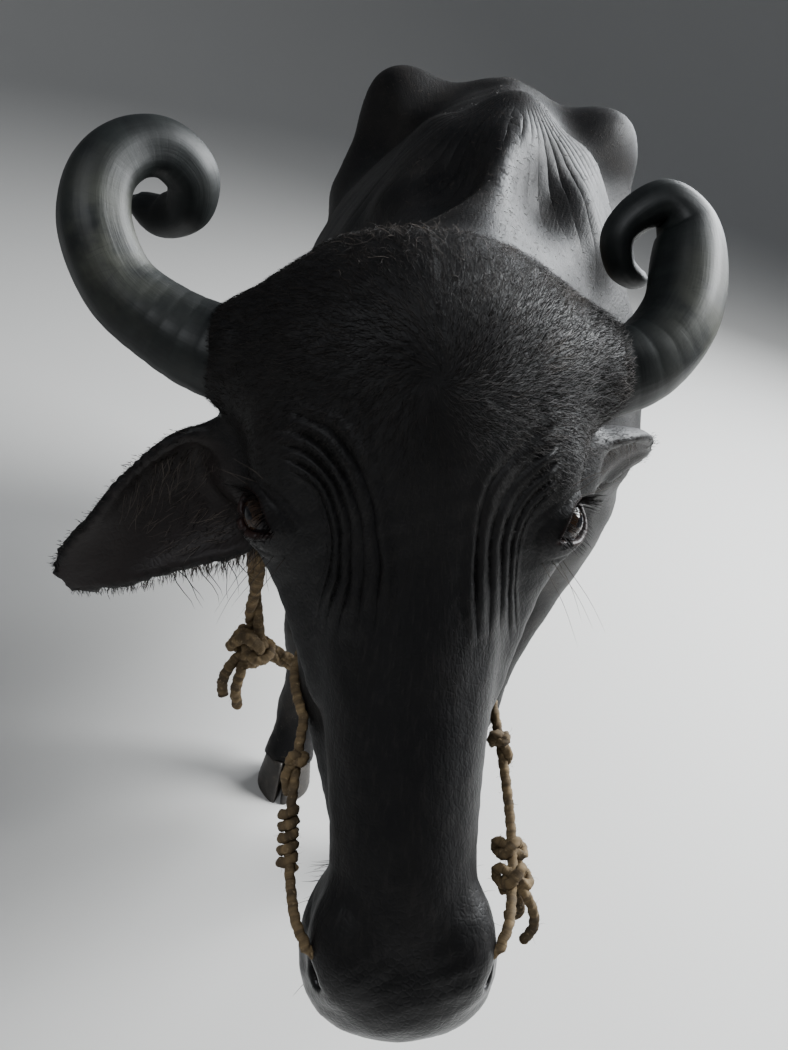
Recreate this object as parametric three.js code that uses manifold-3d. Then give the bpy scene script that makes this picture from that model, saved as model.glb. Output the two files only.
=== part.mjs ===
// A water buffalo cow, life size, standing square with its head lowered and turned a little.
// Millimetres, +Z up. It faces -Y, its own left is +X and its feet stand on z = 0.
import * as THREE from "three";
import { mergeVertices } from "three/addons/utils/BufferGeometryUtils.js";
import Module from "manifold-3d";

const wasm = await Module();
wasm.setup();
const { Manifold, Mesh: Surface } = wasm;

// Driving dimensions of the carriage
const HEAD_AT = [-27.5, -1323.6, 1160]; // middle of the line between the eyes
const HEAD_PITCH = 61.8; // face below the level, degrees
const HEAD_YAW = 23.3; // muzzle turned to the animal's left
const HEAD_ROLL = 16.7;
const GAP = 0.3; // between two nodes that meet
const HALF_GAP = GAP / 2;
const EYE_RADIUS = 21;
const EYE_AT = [6, 98, -43]; // in the head's frame: along the face, to its left, off the face
const FORE_STEP = { left: -10, right: 170 }; // how far each foot stands behind its shoulder
const HIND_STEP = { left: -60, right: 30 };
const CORONET = { height: 64, slope: 0.22 };

// Vectors
const add = (a, b) => [a[0] + b[0], a[1] + b[1], a[2] + b[2]];
const sub = (a, b) => [a[0] - b[0], a[1] - b[1], a[2] - b[2]];
const scale = (a, s) => [a[0] * s, a[1] * s, a[2] * s];
const dot = (a, b) => a[0] * b[0] + a[1] * b[1] + a[2] * b[2];
const cross = (a, b) => [
  a[1] * b[2] - a[2] * b[1],
  a[2] * b[0] - a[0] * b[2],
  a[0] * b[1] - a[1] * b[0],
];
const norm = (a) => Math.hypot(a[0], a[1], a[2]);
const unit = (a) => scale(a, 1 / (norm(a) || 1));
const mix = (a, b, t) => a + (b - a) * t;
const clamp = (x, lo, hi) => Math.min(Math.max(x, lo), hi);

// The head's own frame: u down the face to the muzzle, v to the animal's left, w out of the face
function headAxes() {
  const [pitch, yaw, roll] = [HEAD_PITCH, HEAD_YAW, HEAD_ROLL].map(THREE.MathUtils.degToRad);
  const u = [Math.sin(yaw) * Math.cos(pitch), -Math.cos(yaw) * Math.cos(pitch), -Math.sin(pitch)];
  const v0 = [Math.cos(yaw), Math.sin(yaw), 0];
  const w0 = cross(u, v0);
  const v = add(scale(v0, Math.cos(roll)), scale(w0, Math.sin(roll)));
  const w = sub(scale(w0, Math.cos(roll)), scale(v0, Math.sin(roll)));
  return [u, v, w];
}
const HEAD_AXES = headAxes();
const HEAD_FRAME = { at: HEAD_AT, axes: HEAD_AXES };
const BODY_FRAME = { at: [0, 0, 0], axes: [[1, 0, 0], [0, 1, 0], [0, 0, 1]] };
const outOf = (frame, q) =>
  add(frame.at, add(scale(frame.axes[0], q[0]), add(scale(frame.axes[1], q[1]), scale(frame.axes[2], q[2]))));
const into = (frame, p) => frame.axes.map((axis) => dot(sub(p, frame.at), axis));
const fromHead = (q) => outOf(HEAD_FRAME, q);
const toHead = (p) => into(HEAD_FRAME, p);

// Distance fields: negative inside
function smoothMin(a, b, k) {
  const h = Math.max(k - Math.abs(a - b), 0) / k;
  return Math.min(a, b) - (h * h * k) / 4;
}
const smoothMax = (a, b, k) => -smoothMin(-a, -b, k);

const ellipsoid = (centre, radii) => (p) => {
  const q = sub(p, centre);
  const k0 = Math.hypot(q[0] / radii[0], q[1] / radii[1], q[2] / radii[2]);
  const k1 = Math.hypot(q[0] / radii[0] ** 2, q[1] / radii[1] ** 2, q[2] / radii[2] ** 2) + 1e-9;
  return (k0 * (k0 - 1)) / k1;
};

const cone = (a, b, ra, rb) => {
  const ab = sub(b, a);
  const length2 = dot(ab, ab);
  return (p) => {
    const t = clamp(dot(sub(p, a), ab) / length2, 0, 1);
    return norm(sub(p, add(a, scale(ab, t)))) - mix(ra, rb, t);
  };
};

// Rows of numbers eased through a cubic, then read at any place along the first column
function eased(rows, steps = 6) {
  const sorted = rows[0][0] > rows.at(-1)[0] ? [...rows].reverse() : rows;
  const slope = sorted.slice(1).map((r, i) => r.map((x, c) => (x - sorted[i][c]) / (r[0] - sorted[i][0])));
  const tangent = sorted.map((_, i) => {
    const before = slope[Math.max(i - 1, 0)];
    const after = slope[Math.min(i, slope.length - 1)];
    return before.map((x, c) => (x + after[c]) / 2);
  });
  const fine = [];
  for (let i = 0; i < slope.length; i++) {
    const span = sorted[i + 1][0] - sorted[i][0];
    for (let j = 0; j < steps; j++) {
      const s = j / steps;
      const [h0, h1] = [2 * s ** 3 - 3 * s ** 2 + 1, s ** 3 - 2 * s ** 2 + s];
      const [h2, h3] = [-2 * s ** 3 + 3 * s ** 2, s ** 3 - s ** 2];
      fine.push(sorted[i].map((x, c) =>
        h0 * x + h1 * span * tangent[i][c] + h2 * sorted[i + 1][c] + h3 * span * tangent[i + 1][c]));
    }
  }
  fine.push(sorted.at(-1));
  return (t) => {
    let i = 0;
    while (i < fine.length - 2 && t > fine[i + 1][0]) i++;
    const f = clamp((t - fine[i][0]) / (fine[i + 1][0] - fine[i][0]), 0, 1);
    return fine[i].map((x, c) => mix(x, fine[i + 1][c], f));
  };
}

// Cross-sections along one axis. A row is: place, side and up of its middle,
// half width, reach up, reach down.
function sections(along, side, up, rows, powerUp, powerDown, cap) {
  const at = eased(rows);
  const [first, last] = [rows[0][0], rows.at(-1)[0]];
  const [middle, half] = [(first + last) / 2, Math.abs(last - first) / 2];
  return (p) => {
    const [, cs, cu, width, above, below] = at(p[along]);
    const [a, b] = [p[side] - cs, p[up] - cu];
    const power = b > 0 ? powerUp : powerDown;
    const tall = b > 0 ? b / above : -b / below;
    const rho = (Math.abs(a / width) ** power + tall ** power) ** (1 / power) + 1e-6;
    const reach = Math.hypot(a, b);
    const d = reach < 1 ? -Math.min(width, above) : reach * (1 - 1 / rho);
    return smoothMax(d, Math.abs(p[along] - middle) - half, cap);
  };
}

// A form is a list of steps: [field, blend] joins, [field, blend, "cut"] takes away
const form = (steps) => (p) => {
  let d = steps[0][0](p);
  for (let i = 1; i < steps.length; i++) {
    const [field, blend, cut] = steps[i];
    d = cut ? smoothMax(d, -field(p), blend) : smoothMin(d, field(p), blend);
  }
  return d;
};
const bothSides = (make) => [...make(1), ...make(-1)];

// Trunk and neck stations: y, x, z, half width, reach up, reach down
const TRUNK = [
  [-640, 0, 960, 150, 230, 240],
  [-560, 0, 960, 198, 330, 320],
  [-430, 0, 930, 232, 402, 345],
  [-250, 0, 900, 275, 415, 335],
  [-50, 0, 890, 306, 408, 335],
  [150, 0, 890, 322, 406, 330],
  [330, 0, 900, 312, 404, 310],
  [470, 0, 960, 268, 348, 305],
  [600, 0, 1020, 232, 286, 285],
  [740, 0, 1040, 186, 238, 235],
  [850, 0, 1050, 122, 175, 190],
];
const NECK = [
  [-1190, -62, 1182, 82, 84, 95],
  [-1080, -52, 1158, 106, 112, 150],
  [-980, -42, 1116, 116, 150, 195],
  [-860, -28, 1075, 126, 188, 240],
  [-740, -14, 1040, 144, 226, 285],
  [-620, -5, 1000, 174, 286, 320],
  [-500, 0, 970, 200, 345, 340],
];
// Leg stations: z, x, y, half width, reach back, reach forward
const FORELEG = [
  [820, 200, -430, 62, 112, 112],
  [700, 193, -400, 68, 100, 94],
  [600, 176, -398, 61, 75, 71],
  [500, 162, -396, 51, 59, 57],
  [430, 155, -395, 47, 50, 50],
  [392, 152, -395, 50, 50, 51],
  [350, 151, -393, 45, 43, 46],
  [300, 150, -391, 37, 38, 36],
  [220, 150, -388, 36, 39, 35],
  [162, 150, -388, 43, 44, 41],
  [115, 150, -402, 41, 41, 39],
  [75, 150, -414, 50, 47, 46],
  [20, 150, -424, 54, 50, 54],
];
const HINDLEG = [
  [1160, 140, 650, 75, 150, 150],
  [1050, 165, 640, 90, 190, 190],
  [950, 180, 622, 88, 192, 204],
  [850, 184, 602, 80, 166, 188],
  [760, 184, 612, 70, 132, 158],
  [680, 179, 650, 60, 106, 118],
  [600, 170, 705, 51, 85, 85],
  [540, 162, 748, 46, 70, 62],
  [490, 160, 756, 44, 55, 55],
  [430, 158, 750, 39, 45, 45],
  [330, 157, 740, 36, 40, 37],
  [230, 156, 730, 36, 40, 36],
  [165, 156, 722, 42, 45, 42],
  [115, 156, 703, 40, 40, 39],
  [75, 156, 688, 48, 46, 46],
  [20, 156, 678, 52, 50, 54],
];
const stepAt = (z, step) => clamp((760 - z) / 600, 0, 1) * step;
const legRows = (rows, side, step) =>
  rows.map(([z, x, y, w, back, front]) => [z, side * x, y + stepAt(z, step), w, back, front]);
const sideName = (side) => (side > 0 ? "left" : "right");

function foreleg(side) {
  const step = FORE_STEP[sideName(side)];
  return sections(2, 0, 1, legRows(FORELEG, side, step), 2, 2, 20);
}

function hindleg(side) {
  const step = HIND_STEP[sideName(side)];
  const tendon = cone(
    [side * 176, 740 + stepAt(720, step), 720],
    [side * 162, 812 + stepAt(575, step), 575],
    18,
    22,
  );
  return form([
    [sections(2, 0, 1, legRows(HINDLEG, side, step), 2, 2, 20)],
    [tendon, 40],
  ]);
}

// Muscles, bones and hollows that show through the hide, on one side
const trunkRelief = (s) => [
  [cone([s * 60, 440, 1246], [s * 206, 432, 1208], 30, 44), 80], // hook bone
  [cone([s * 214, 430, 1240], [s * 250, 390, 1040], 44, 60), 110],
  [cone([s * 206, 450, 1206], [s * 112, 800, 1156], 38, 36), 90], // from hook to pin
  [ellipsoid([s * 104, 832, 1150], [42, 44, 50]), 70], // pin bone
  [ellipsoid([s * 190, 640, 1060], [80, 110, 105]), 90],
  [cone([s * 80, -440, 1262], [s * 190, -590, 960], 46, 62), 70], // shoulder blade
  [ellipsoid([s * 190, -430, 900], [78, 150, 200]), 80],
  [cone([s * 20, -450, 1318], [s * 116, -570, 1206], 14, 30), 46], // edge of the shoulder blade
  [ellipsoid([s * 62 - 6, -650, 1272], [25, 92, 34]), 50, "cut"], // hollow beside the crest
  [ellipsoid([s * 290, 255, 1200], [62, 90, 60]), 90, "cut"], // flank hollow
  [ellipsoid([s * 225, 650, 1262], [52, 120, 52]), 70, "cut"],
];

const trunk = form([
  [sections(1, 0, 2, TRUNK, 1.62, 2.2, 70)],
  [sections(1, 0, 2, NECK, 1.9, 1.85, 60), 70],
  [cone([0, -590, 1272], [0, -440, 1327], 20, 15), 40], // withers
  [cone([0, -440, 1326], [0, 400, 1276], 20, 17), 40], // spine
  [cone([0, -450, 1324], [-24, -840, 1246], 16, 18), 40], // crest
  [cone([0, 400, 1276], [0, 800, 1238], 22, 28), 50],
  [ellipsoid([0, -600, 735], [92, 120, 110]), 80], // brisket
  [ellipsoid([-60, -1088, 1320], [120, 92, 66]), 50, "cut"], // dip behind the poll
  ...bothSides(trunkRelief),
  [foreleg(1), 60],
  [foreleg(-1), 60],
  [hindleg(1), 60],
  [hindleg(-1), 60],
]);

// Head stations in its own frame: u, v, w, half width, reach out of the face, reach to the jaw
const SKULL = [
  [-178, 0, -80, 76, 62, 66],
  [-145, 0, -80, 108, 92, 92],
  [-90, 0, -85, 120, 117, 110],
  [-40, 0, -85, 116, 114, 115],
  [0, 0, -80, 104, 98, 115],
  [40, 0, -78, 89, 84, 95],
  [85, 0, -75, 73, 75, 80],
  [140, 0, -70, 63, 67, 65],
  [200, 0, -68, 57, 62, 54],
  [255, 0, -66, 55, 57, 46],
  [300, 0, -66, 59, 50, 42],
  [340, 0, -70, 60, 40, 36],
  [374, 0, -76, 46, 24, 26],
];
const JAW = [
  [-75, 0, -165, 60, 48, 42],
  [-30, -3, -160, 78, 68, 60],
  [20, -6, -150, 84, 65, 60],
  [80, -6, -140, 78, 50, 50],
  [140, -5, -130, 74, 42, 38],
  [200, -5, -126, 59, 36, 31],
  [255, -2, -124, 50, 30, 30],
  [310, 0, -122, 50, 26, 30],
  [348, 0, -118, 40, 18, 24],
];
const headRelief = (s) => [
  [ellipsoid([0, s * 87, -52], [40, 30, 32]), 26], // rim of the eye socket
  [ellipsoid([-38, s * 88, -24], [30, 26, 24]), 26], // brow
  [ellipsoid([5, s * 58, -128], [86, 34, 76]), 36], // cheek muscle
  [cone([25, s * 84, -62], [125, s * 58, -84], 18, 13), 26],
  [cone([-98, s * 80, -55], [-104, s * 118, -62], 50, 42), 34], // horn base
  [cone([-45, s * 85, -105], [-32, s * 116, -110], 40, 34), 30], // ear base
  [ellipsoid([320, s * 38, -92], [54, 36, 36]), 24], // upper lip
  [ellipsoid([306, s * 40, -46], [40, 27, 26]), 18], // wing of the nostril
];
const headForm = form([
  [sections(0, 1, 2, SKULL, 2.15, 2.2, 28)],
  [sections(0, 1, 2, JAW, 2.2, 2.2, 22), 26],
  [ellipsoid([-112, 0, -62], [82, 112, 92]), 40], // domed forehead
  [ellipsoid([338, 0, -74], [44, 60, 46]), 24], // muzzle
  [ellipsoid([310, 0, -138], [40, 46, 28]), 22], // chin
  ...bothSides(headRelief),
]);
const flesh = (p) => smoothMin(trunk(p), headForm(toHead(p)), 40);

const UDDER_STEPS = [
  [ellipsoid([0, 560, 668], [104, 158, 112])],
  [ellipsoid([0, 640, 720], [80, 90, 100]), 50],
  ...bothSides((s) => [
    [cone([s * 50, 505, 590], [s * 56, 492, 505], 24, 13), 22],
    [cone([s * 44, 610, 590], [s * 48, 612, 512], 24, 13), 22],
  ]),
];
const udderForm = form(UDDER_STEPS);

function gradient(field, p, h = 1) {
  return [0, 1, 2].map((i) => {
    const step = [0, 0, 0];
    step[i] = h;
    return (field(add(p, step)) - field(sub(p, step))) / (2 * h);
  });
}

function settle(field, p, level = 0, limit = 30) {
  let q = p;
  for (let i = 0; i < 4; i++) {
    const g = gradient(field, q);
    const far = (field(q) - level) / (dot(g, g) + 1e-6);
    q = sub(q, scale(g, clamp(far, -limit, limit)));
  }
  return q;
}

// Grid lines along one axis, from pairs of an end and the cell up to it
function lines(start, ...spans) {
  const out = [start];
  for (const [end, cell] of spans) {
    const [from, count] = [out.at(-1), Math.max(1, Math.round((end - out.at(-1)) / cell))];
    for (let i = 1; i <= count; i++) out.push(mix(from, end, i / count));
  }
  return out;
}
const evenLines = (low, high, cell) => [0, 1, 2].map((i) => lines(low[i], [high[i], cell[i]]));

// A surface over a grid of cells: one vertex in each cell that the surface crosses
function netOf(field, frame, grid) {
  const size = grid.map((axis) => axis.length);
  const read = (axis, n) => {
    const i = Math.min(Math.floor(n), size[axis] - 2);
    return mix(grid[axis][i], grid[axis][i + 1], n - i);
  };
  const place = (i, j, k) => outOf(frame, [read(0, i), read(1, j), read(2, k)]);
  const index = (i, j, k) => (i * size[1] + j) * size[2] + k;
  const values = new Float64Array(size[0] * size[1] * size[2]);
  const edge = (i, j, k) => [i, j, k].some((n, axis) => n === 0 || n === size[axis] - 1);
  for (let i = 0; i < size[0]; i++)
    for (let j = 0; j < size[1]; j++)
      for (let k = 0; k < size[2]; k++)
        values[index(i, j, k)] = edge(i, j, k) ? 10 : field(place(i, j, k));
  const corners = [];
  for (let n = 0; n < 8; n++) corners.push([n & 1, (n >> 1) & 1, (n >> 2) & 1]);
  const vertices = [];
  const ids = new Map();
  const vertexOf = (i, j, k) => {
    const key = index(i, j, k);
    if (ids.has(key)) return ids.get(key);
    const sum = [0, 0, 0];
    let count = 0;
    for (const a of corners)
      for (let axis = 0; axis < 3; axis++) {
        if (a[axis]) continue;
        const b = [...a];
        b[axis] = 1;
        const fa = values[index(i + a[0], j + a[1], k + a[2])];
        const fb = values[index(i + b[0], j + b[1], k + b[2])];
        if (fa < 0 === fb < 0) continue;
        const t = fa / (fa - fb);
        for (let c = 0; c < 3; c++) sum[c] += a[c] + (c === axis ? t : 0);
        count++;
      }
    const spot = place(i + sum[0] / count, j + sum[1] / count, k + sum[2] / count);
    const limit = 0.6 * Math.min(...[i, j, k].map((n, axis) => grid[axis][n + 1] - grid[axis][n]));
    ids.set(key, vertices.length);
    vertices.push(Math.abs(field(spot)) < limit ? settle(field, spot, 0, limit) : spot);
    return vertices.length - 1;
  };
  const triangles = [];
  const diagonals = new Set();
  const keyOf = (a, b) => (a < b ? `${a} ${b}` : `${b} ${a}`);
  const quad = (a, b, c, d) => {
    const shorter = norm(sub(vertices[a], vertices[c])) < norm(sub(vertices[b], vertices[d]));
    const across = diagonals.has(keyOf(a, c)) || diagonals.has(keyOf(b, d))
      ? !diagonals.has(keyOf(a, c))
      : shorter;
    diagonals.add(across ? keyOf(a, c) : keyOf(b, d));
    if (across) triangles.push([a, b, c], [a, c, d]);
    else triangles.push([a, b, d], [b, c, d]);
  };
  for (let i = 0; i < size[0] - 1; i++)
    for (let j = 0; j < size[1] - 1; j++)
      for (let k = 0; k < size[2] - 1; k++)
        for (let axis = 0; axis < 3; axis++) {
          const n = [i, j, k];
          const [b, c] = [(axis + 1) % 3, (axis + 2) % 3];
          if (n[b] === 0 || n[c] === 0) continue;
          n[axis]++;
          const inside = values[index(i, j, k)] < 0;
          if (inside === values[index(...n)] < 0) continue;
          const ring = [[1, 1], [0, 1], [0, 0], [1, 0]].map(([db, dc]) => {
            const at = [i, j, k];
            at[b] -= db;
            at[c] -= dc;
            return vertexOf(...at);
          });
          if (inside) quad(...ring);
          else quad(...ring.reverse());
        }
  return { vertices, triangles };
}

// Turns the faces of a closed surface outwards
function outward({ vertices, triangles }) {
  const volume = triangles.reduce(
    (sum, [a, b, c]) => sum + dot(vertices[a], cross(vertices[b], vertices[c])),
    0,
  );
  return { vertices, triangles: volume < 0 ? triangles.map(([a, b, c]) => [a, c, b]) : triangles };
}

// A skin over rings of points, closed at both ends by a fan
function loft(rings) {
  const count = rings[0].length;
  const vertices = rings.flat();
  const triangles = [];
  for (let r = 0; r < rings.length - 1; r++)
    for (let i = 0; i < count; i++) {
      const [a, b] = [r * count + i, r * count + ((i + 1) % count)];
      triangles.push([a, b, b + count], [a, b + count, a + count]);
    }
  const middle = (ring) => scale(ring.reduce(add), 1 / count);
  const last = (rings.length - 1) * count;
  vertices.push(middle(rings[0]), middle(rings.at(-1)));
  for (let i = 0; i < count; i++) {
    const j = (i + 1) % count;
    triangles.push([vertices.length - 2, j, i], [vertices.length - 1, last + i, last + j]);
  }
  return outward({ vertices, triangles });
}

// The same surface pushed out along its normals
function grown({ vertices, triangles }, by) {
  const normals = vertices.map(() => [0, 0, 0]);
  for (const [a, b, c] of triangles) {
    const n = cross(sub(vertices[b], vertices[a]), sub(vertices[c], vertices[a]));
    for (const i of [a, b, c]) normals[i] = add(normals[i], n);
  }
  return { vertices: vertices.map((p, i) => add(p, scale(unit(normals[i]), by))), triangles };
}

function solid(surface) {
  const { vertices, triangles } = outward(surface);
  return new Manifold(new Surface({
    numProp: 3,
    vertProperties: Float32Array.from(vertices.flat()),
    triVerts: Uint32Array.from(triangles.flat()),
  }));
}

function solidOf(geometry) {
  const bare = new THREE.BufferGeometry();
  bare.setAttribute("position", geometry.getAttribute("position"));
  if (geometry.index) bare.setIndex(geometry.index);
  const merged = mergeVertices(bare, 1e-4);
  const at = merged.getAttribute("position");
  const vertices = [];
  for (let i = 0; i < at.count; i++) vertices.push([at.getX(i), at.getY(i), at.getZ(i)]);
  const triangles = [];
  for (let i = 0; i < merged.index.count; i += 3)
    triangles.push([merged.index.getX(i), merged.index.getX(i + 1), merged.index.getX(i + 2)]);
  const kept = triangles.filter(([a, b, c]) => a !== b && b !== c && a !== c);
  return solid({ vertices, triangles: kept });
}

const largest = (made) =>
  made.decompose().reduce((best, piece) => (piece.volume() > best.volume() ? piece : best));
const join = (pieces) => Manifold.union(pieces);

function box(low, high) {
  const made = new THREE.BoxGeometry(high[0] - low[0], high[1] - low[1], high[2] - low[2]);
  made.translate((low[0] + high[0]) / 2, (low[1] + high[1]) / 2, (low[2] + high[2]) / 2);
  return solidOf(made);
}

function ball(centre, radii, frame, across = 16, around = 10) {
  const made = new THREE.SphereGeometry(1, across, around);
  const at = made.getAttribute("position");
  for (let i = 0; i < at.count; i++) {
    const spot = [at.getX(i) * radii[0], at.getY(i) * radii[1], at.getZ(i) * radii[2]];
    at.setXYZ(i, ...outOf(frame, add(centre, spot)));
  }
  return solidOf(made);
}

// Cutting planes: through a point, with the side to keep along the normal
const plane = (point, normal) => ({ normal: unit(normal), offset: dot(unit(normal), point) });
const keepAhead = (made, { normal, offset }) => made.trimByPlane(normal, offset + HALF_GAP);
const keepBehind = (made, { normal, offset }) =>
  made.trimByPlane(scale(normal, -1), -offset + HALF_GAP);

const nape = fromHead([-178, 0, -95]);
const throat = fromHead([-78, 0, -252]);
const HEAD_CUT = plane(nape, cross(sub(throat, nape), [1, 0, 0]));
const NECK_CUT = plane([0, -560, 1300], [0, -0.945, 0.326]);
const KNEE = 470;
const ELBOW = 690;
const HOCK = 604;
const STIFLE = 800;

const legBox = (side, kind, low, high, by = 0) => {
  const [inner, outer] = [kind === "fore" ? 108 : 84, 360];
  const [front, back] = kind === "fore" ? [-572, -236] : [452, 960];
  const x = side > 0 ? [inner, outer] : [-outer, -inner];
  return box([x[0] - by, front - by, low - by], [x[1] + by, back + by, high + by]);
};

// A path through points, read evenly, with rings across it
function curveOf(points, closed = false) {
  return new THREE.CatmullRomCurve3(points.map((p) => new THREE.Vector3(...p)), closed, "centripetal");
}

function frames(curve, count, hint = [0, 0, 1]) {
  const out = [];
  let up = hint;
  for (let i = 0; i <= count; i++) {
    const t = i / count;
    const at = curve.getPointAt(t).toArray();
    const along = curve.getTangentAt(t).toArray();
    up = unit(sub(up, scale(along, dot(up, along))));
    out.push({ t, at, along, up, side: cross(along, up) });
  }
  return out;
}

function ringAt({ at, up, side }, sides, reach, turn = 0) {
  const ring = [];
  for (let i = 0; i < sides; i++) {
    const angle = (i / sides) * 2 * Math.PI + turn;
    const [a, b] = reach(angle);
    ring.push(add(at, add(scale(side, a * Math.cos(angle)), scale(up, b * Math.sin(angle)))));
  }
  return ring;
}

const tube = (curve, count, sides, radius, hint) =>
  loft(frames(curve, count, hint).map((f) => {
    const r = typeof radius === "function" ? radius(f.t) : radius;
    return ringAt(f, sides, () => [r, r]);
  }));

// Horn middle lines in the head's frame, with the radius at each point
const HORNS = {
  right: [
    [-100, -84, -64, 36],
    [-107, -140, -62, 33],
    [-126, -180, -59, 29],
    [-151, -210, -55, 26.5],
    [-192, -227, -52, 25.5],
    [-229, -224, -58, 24],
    [-252, -206, -72, 22.5],
    [-257, -184, -87, 22.5],
    [-243, -167, -102, 22],
    [-224, -171, -117, 20.5],
    [-220, -190, -129, 18],
    [-229, -207, -135, 12],
    [-236, -217, -138, 6],
  ],
  left: [
    [-98, 84, -64, 36],
    [-102, 134, -62, 32],
    [-116, 170, -66, 30],
    [-150, 198, -77, 30],
    [-191, 208, -90, 29.5],
    [-221, 207, -95, 24.5],
    [-237, 190, -93, 18],
    [-227, 167, -93, 15],
    [-210, 154, -95, 13],
    [-191, 158, -102, 11.5],
    [-184, 169, -111, 10],
    [-184, 178, -119, 8],
    [-186, 185, -124, 4],
  ],
};

function horn(side) {
  const rows = HORNS[side];
  const curve = curveOf(rows.map(([u, v, w]) => fromHead([u, v, w])));
  const lengths = curve.getLengths(200);
  const total = lengths.at(-1);
  const knots = rows.map((row, i) => [lengths[Math.round((i / (rows.length - 1)) * 200)] / total, row[3]]);
  const radius = eased(knots.map(([t, r]) => [t, r]));
  const rings = frames(curve, 20, HEAD_AXES[2]).map((f) => {
    const r = radius(f.t)[1];
    const ridge = f.t > 0.12 && f.t < 0.4 ? 0.02 * Math.cos(f.t * 150) : 0;
    return ringAt(f, 12, (angle) => {
      const flat = 1 + 0.05 * Math.cos(3 * angle + 0.6) + ridge;
      return [r * 1.04 * flat, r * 0.93 * flat];
    });
  });
  return loft(rings);
}

// Ears: a cup whose opening faces down and forward. Each row is a place on the middle line,
// half width across the ear, depth of the cup and thickness of its wall.
const EARS = {
  right: {
    rows: [
      [-40, -92, -108, 32, 30, 28],
      [-26, -118, -110, 46, 34, 24],
      [-12, -146, -114, 55, 34, 9],
      [6, -180, -120, 49, 28, 7],
      [29, -212, -128, 37, 20, 6],
      [46, -240, -138, 27, 12, 5],
      [62, -266, -152, 12, 5, 3.5],
    ],
    opening: [0.35, 0.1, 0.93],
    edge: [-0.9, 0.2, 0.2],
  },
  left: {
    rows: [
      [-46, 92, -112, 30, 30, 28],
      [-44, 118, -124, 38, 34, 24],
      [-44, 140, -146, 48, 34, 9],
      [-45, 161, -173, 50, 28, 7],
      [-46, 181, -202, 42, 20, 6],
      [-46, 199, -230, 28, 12, 5],
      [-45, 214, -254, 11, 5, 3.5],
    ],
    opening: [0.82, 0.5, 0.25],
    edge: [-0.4, 0.5, 0.75],
  },
};

function ear(side) {
  const { rows, opening } = EARS[side];
  const table = rows.map((row, i) => [i / (rows.length - 1), ...row]);
  const read = eased(table, 4);
  const count = 9;
  const rings = [];
  for (let i = 0; i <= count; i++) {
    const t = i / count;
    const [, u, v, w, half, depth, wall] = read(t);
    const [, u1, v1, w1] = read(Math.min(t + 0.02, 1));
    const [, u0, v0, w0] = read(Math.max(t - 0.02, 0));
    const along = unit(sub([u1, v1, w1], [u0, v0, w0]));
    const open = unit(sub(opening, scale(along, dot(opening, along))));
    const across = cross(along, open);
    const ring = [];
    const steps = 7;
    for (let k = 0; k <= steps; k++) {
      const angle = Math.PI * (k / steps);
      const reach = [-Math.cos(angle) * half, -Math.sin(angle) * depth];
      ring.push([reach[0], reach[1] + depth * 0.4]);
    }
    for (let k = steps - 1; k >= 1; k--) {
      const angle = Math.PI * (k / steps);
      const [inner, deep] = [Math.max(half - wall, half * 0.3), Math.max(depth - wall, -depth * 0.2)];
      ring.push([-Math.cos(angle) * inner, -Math.sin(angle) * deep + depth * 0.4]);
    }
    rings.push(ring.map(([a, b]) => fromHead(add([u, v, w], add(scale(across, a), scale(open, b))))));
  }
  return loft(rings);
}

// Eyes, lids, nostrils and mouth
const eyeAt = (s) => [EYE_AT[0], s * EYE_AT[1], EYE_AT[2]];
const eyeFrame = (s) => {
  const out = unit([-0.02, s * 0.8, 0.6]);
  const long = unit(cross(cross(out, [0.62, -s * 0.42, 0.56]), out));
  const axes = [long, cross(out, long), out];
  return {
    at: fromHead(eyeAt(s)),
    axes: axes.map((a) => sub(fromHead(a), HEAD_AT)),
  };
};

function lidOpening(s) {
  const [length, height] = [43, 30];
  const shape = new THREE.Shape();
  shape.moveTo(-length / 2, 0);
  shape.quadraticCurveTo(0, height * 0.98, length / 2, 0);
  shape.quadraticCurveTo(0, -height * 0.9, -length / 2, 0);
  const made = new THREE.ExtrudeGeometry(shape, { depth: 60, bevelEnabled: false, curveSegments: 7 });
  const at = made.getAttribute("position");
  const frame = eyeFrame(s);
  for (let i = 0; i < at.count; i++) at.setXYZ(i, ...outOf(frame, [at.getX(i), at.getY(i), at.getZ(i)]));
  return solidOf(made);
}

const nostril = (s) => {
  const slant = unit([0.8, s * 0.55, 0.2]);
  const across = unit(cross(slant, [0.3, 0, 1]));
  const axes = [slant, across, cross(slant, across)];
  const frame = { at: fromHead([312, s * 46, -50]), axes: axes.map((a) => sub(fromHead(a), HEAD_AT)) };
  return ball([0, 0, 0], [27, 15, 11], frame, 12, 8);
};

function mouthLine() {
  const half = [
    [380, 0, -104],
    [371, 28, -106],
    [350, 50, -110],
    [312, 62, -114],
    [262, 64, -114],
    [222, 62, -106],
  ];
  const mirrored = half.slice(1).reverse().map(([u, v, w]) => [u, -v, w]);
  const points = [...mirrored, ...half].map((q) => {
    const near = settle(headForm, q, -1);
    return fromHead([near[0], near[1], q[2]]);
  });
  return solid(tube(curveOf(points), 30, 4, 6.5, HEAD_AXES[2]));
}

// Feet
const coronetAt = (y, middle) => CORONET.height - (y - middle) * CORONET.slope;

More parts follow.
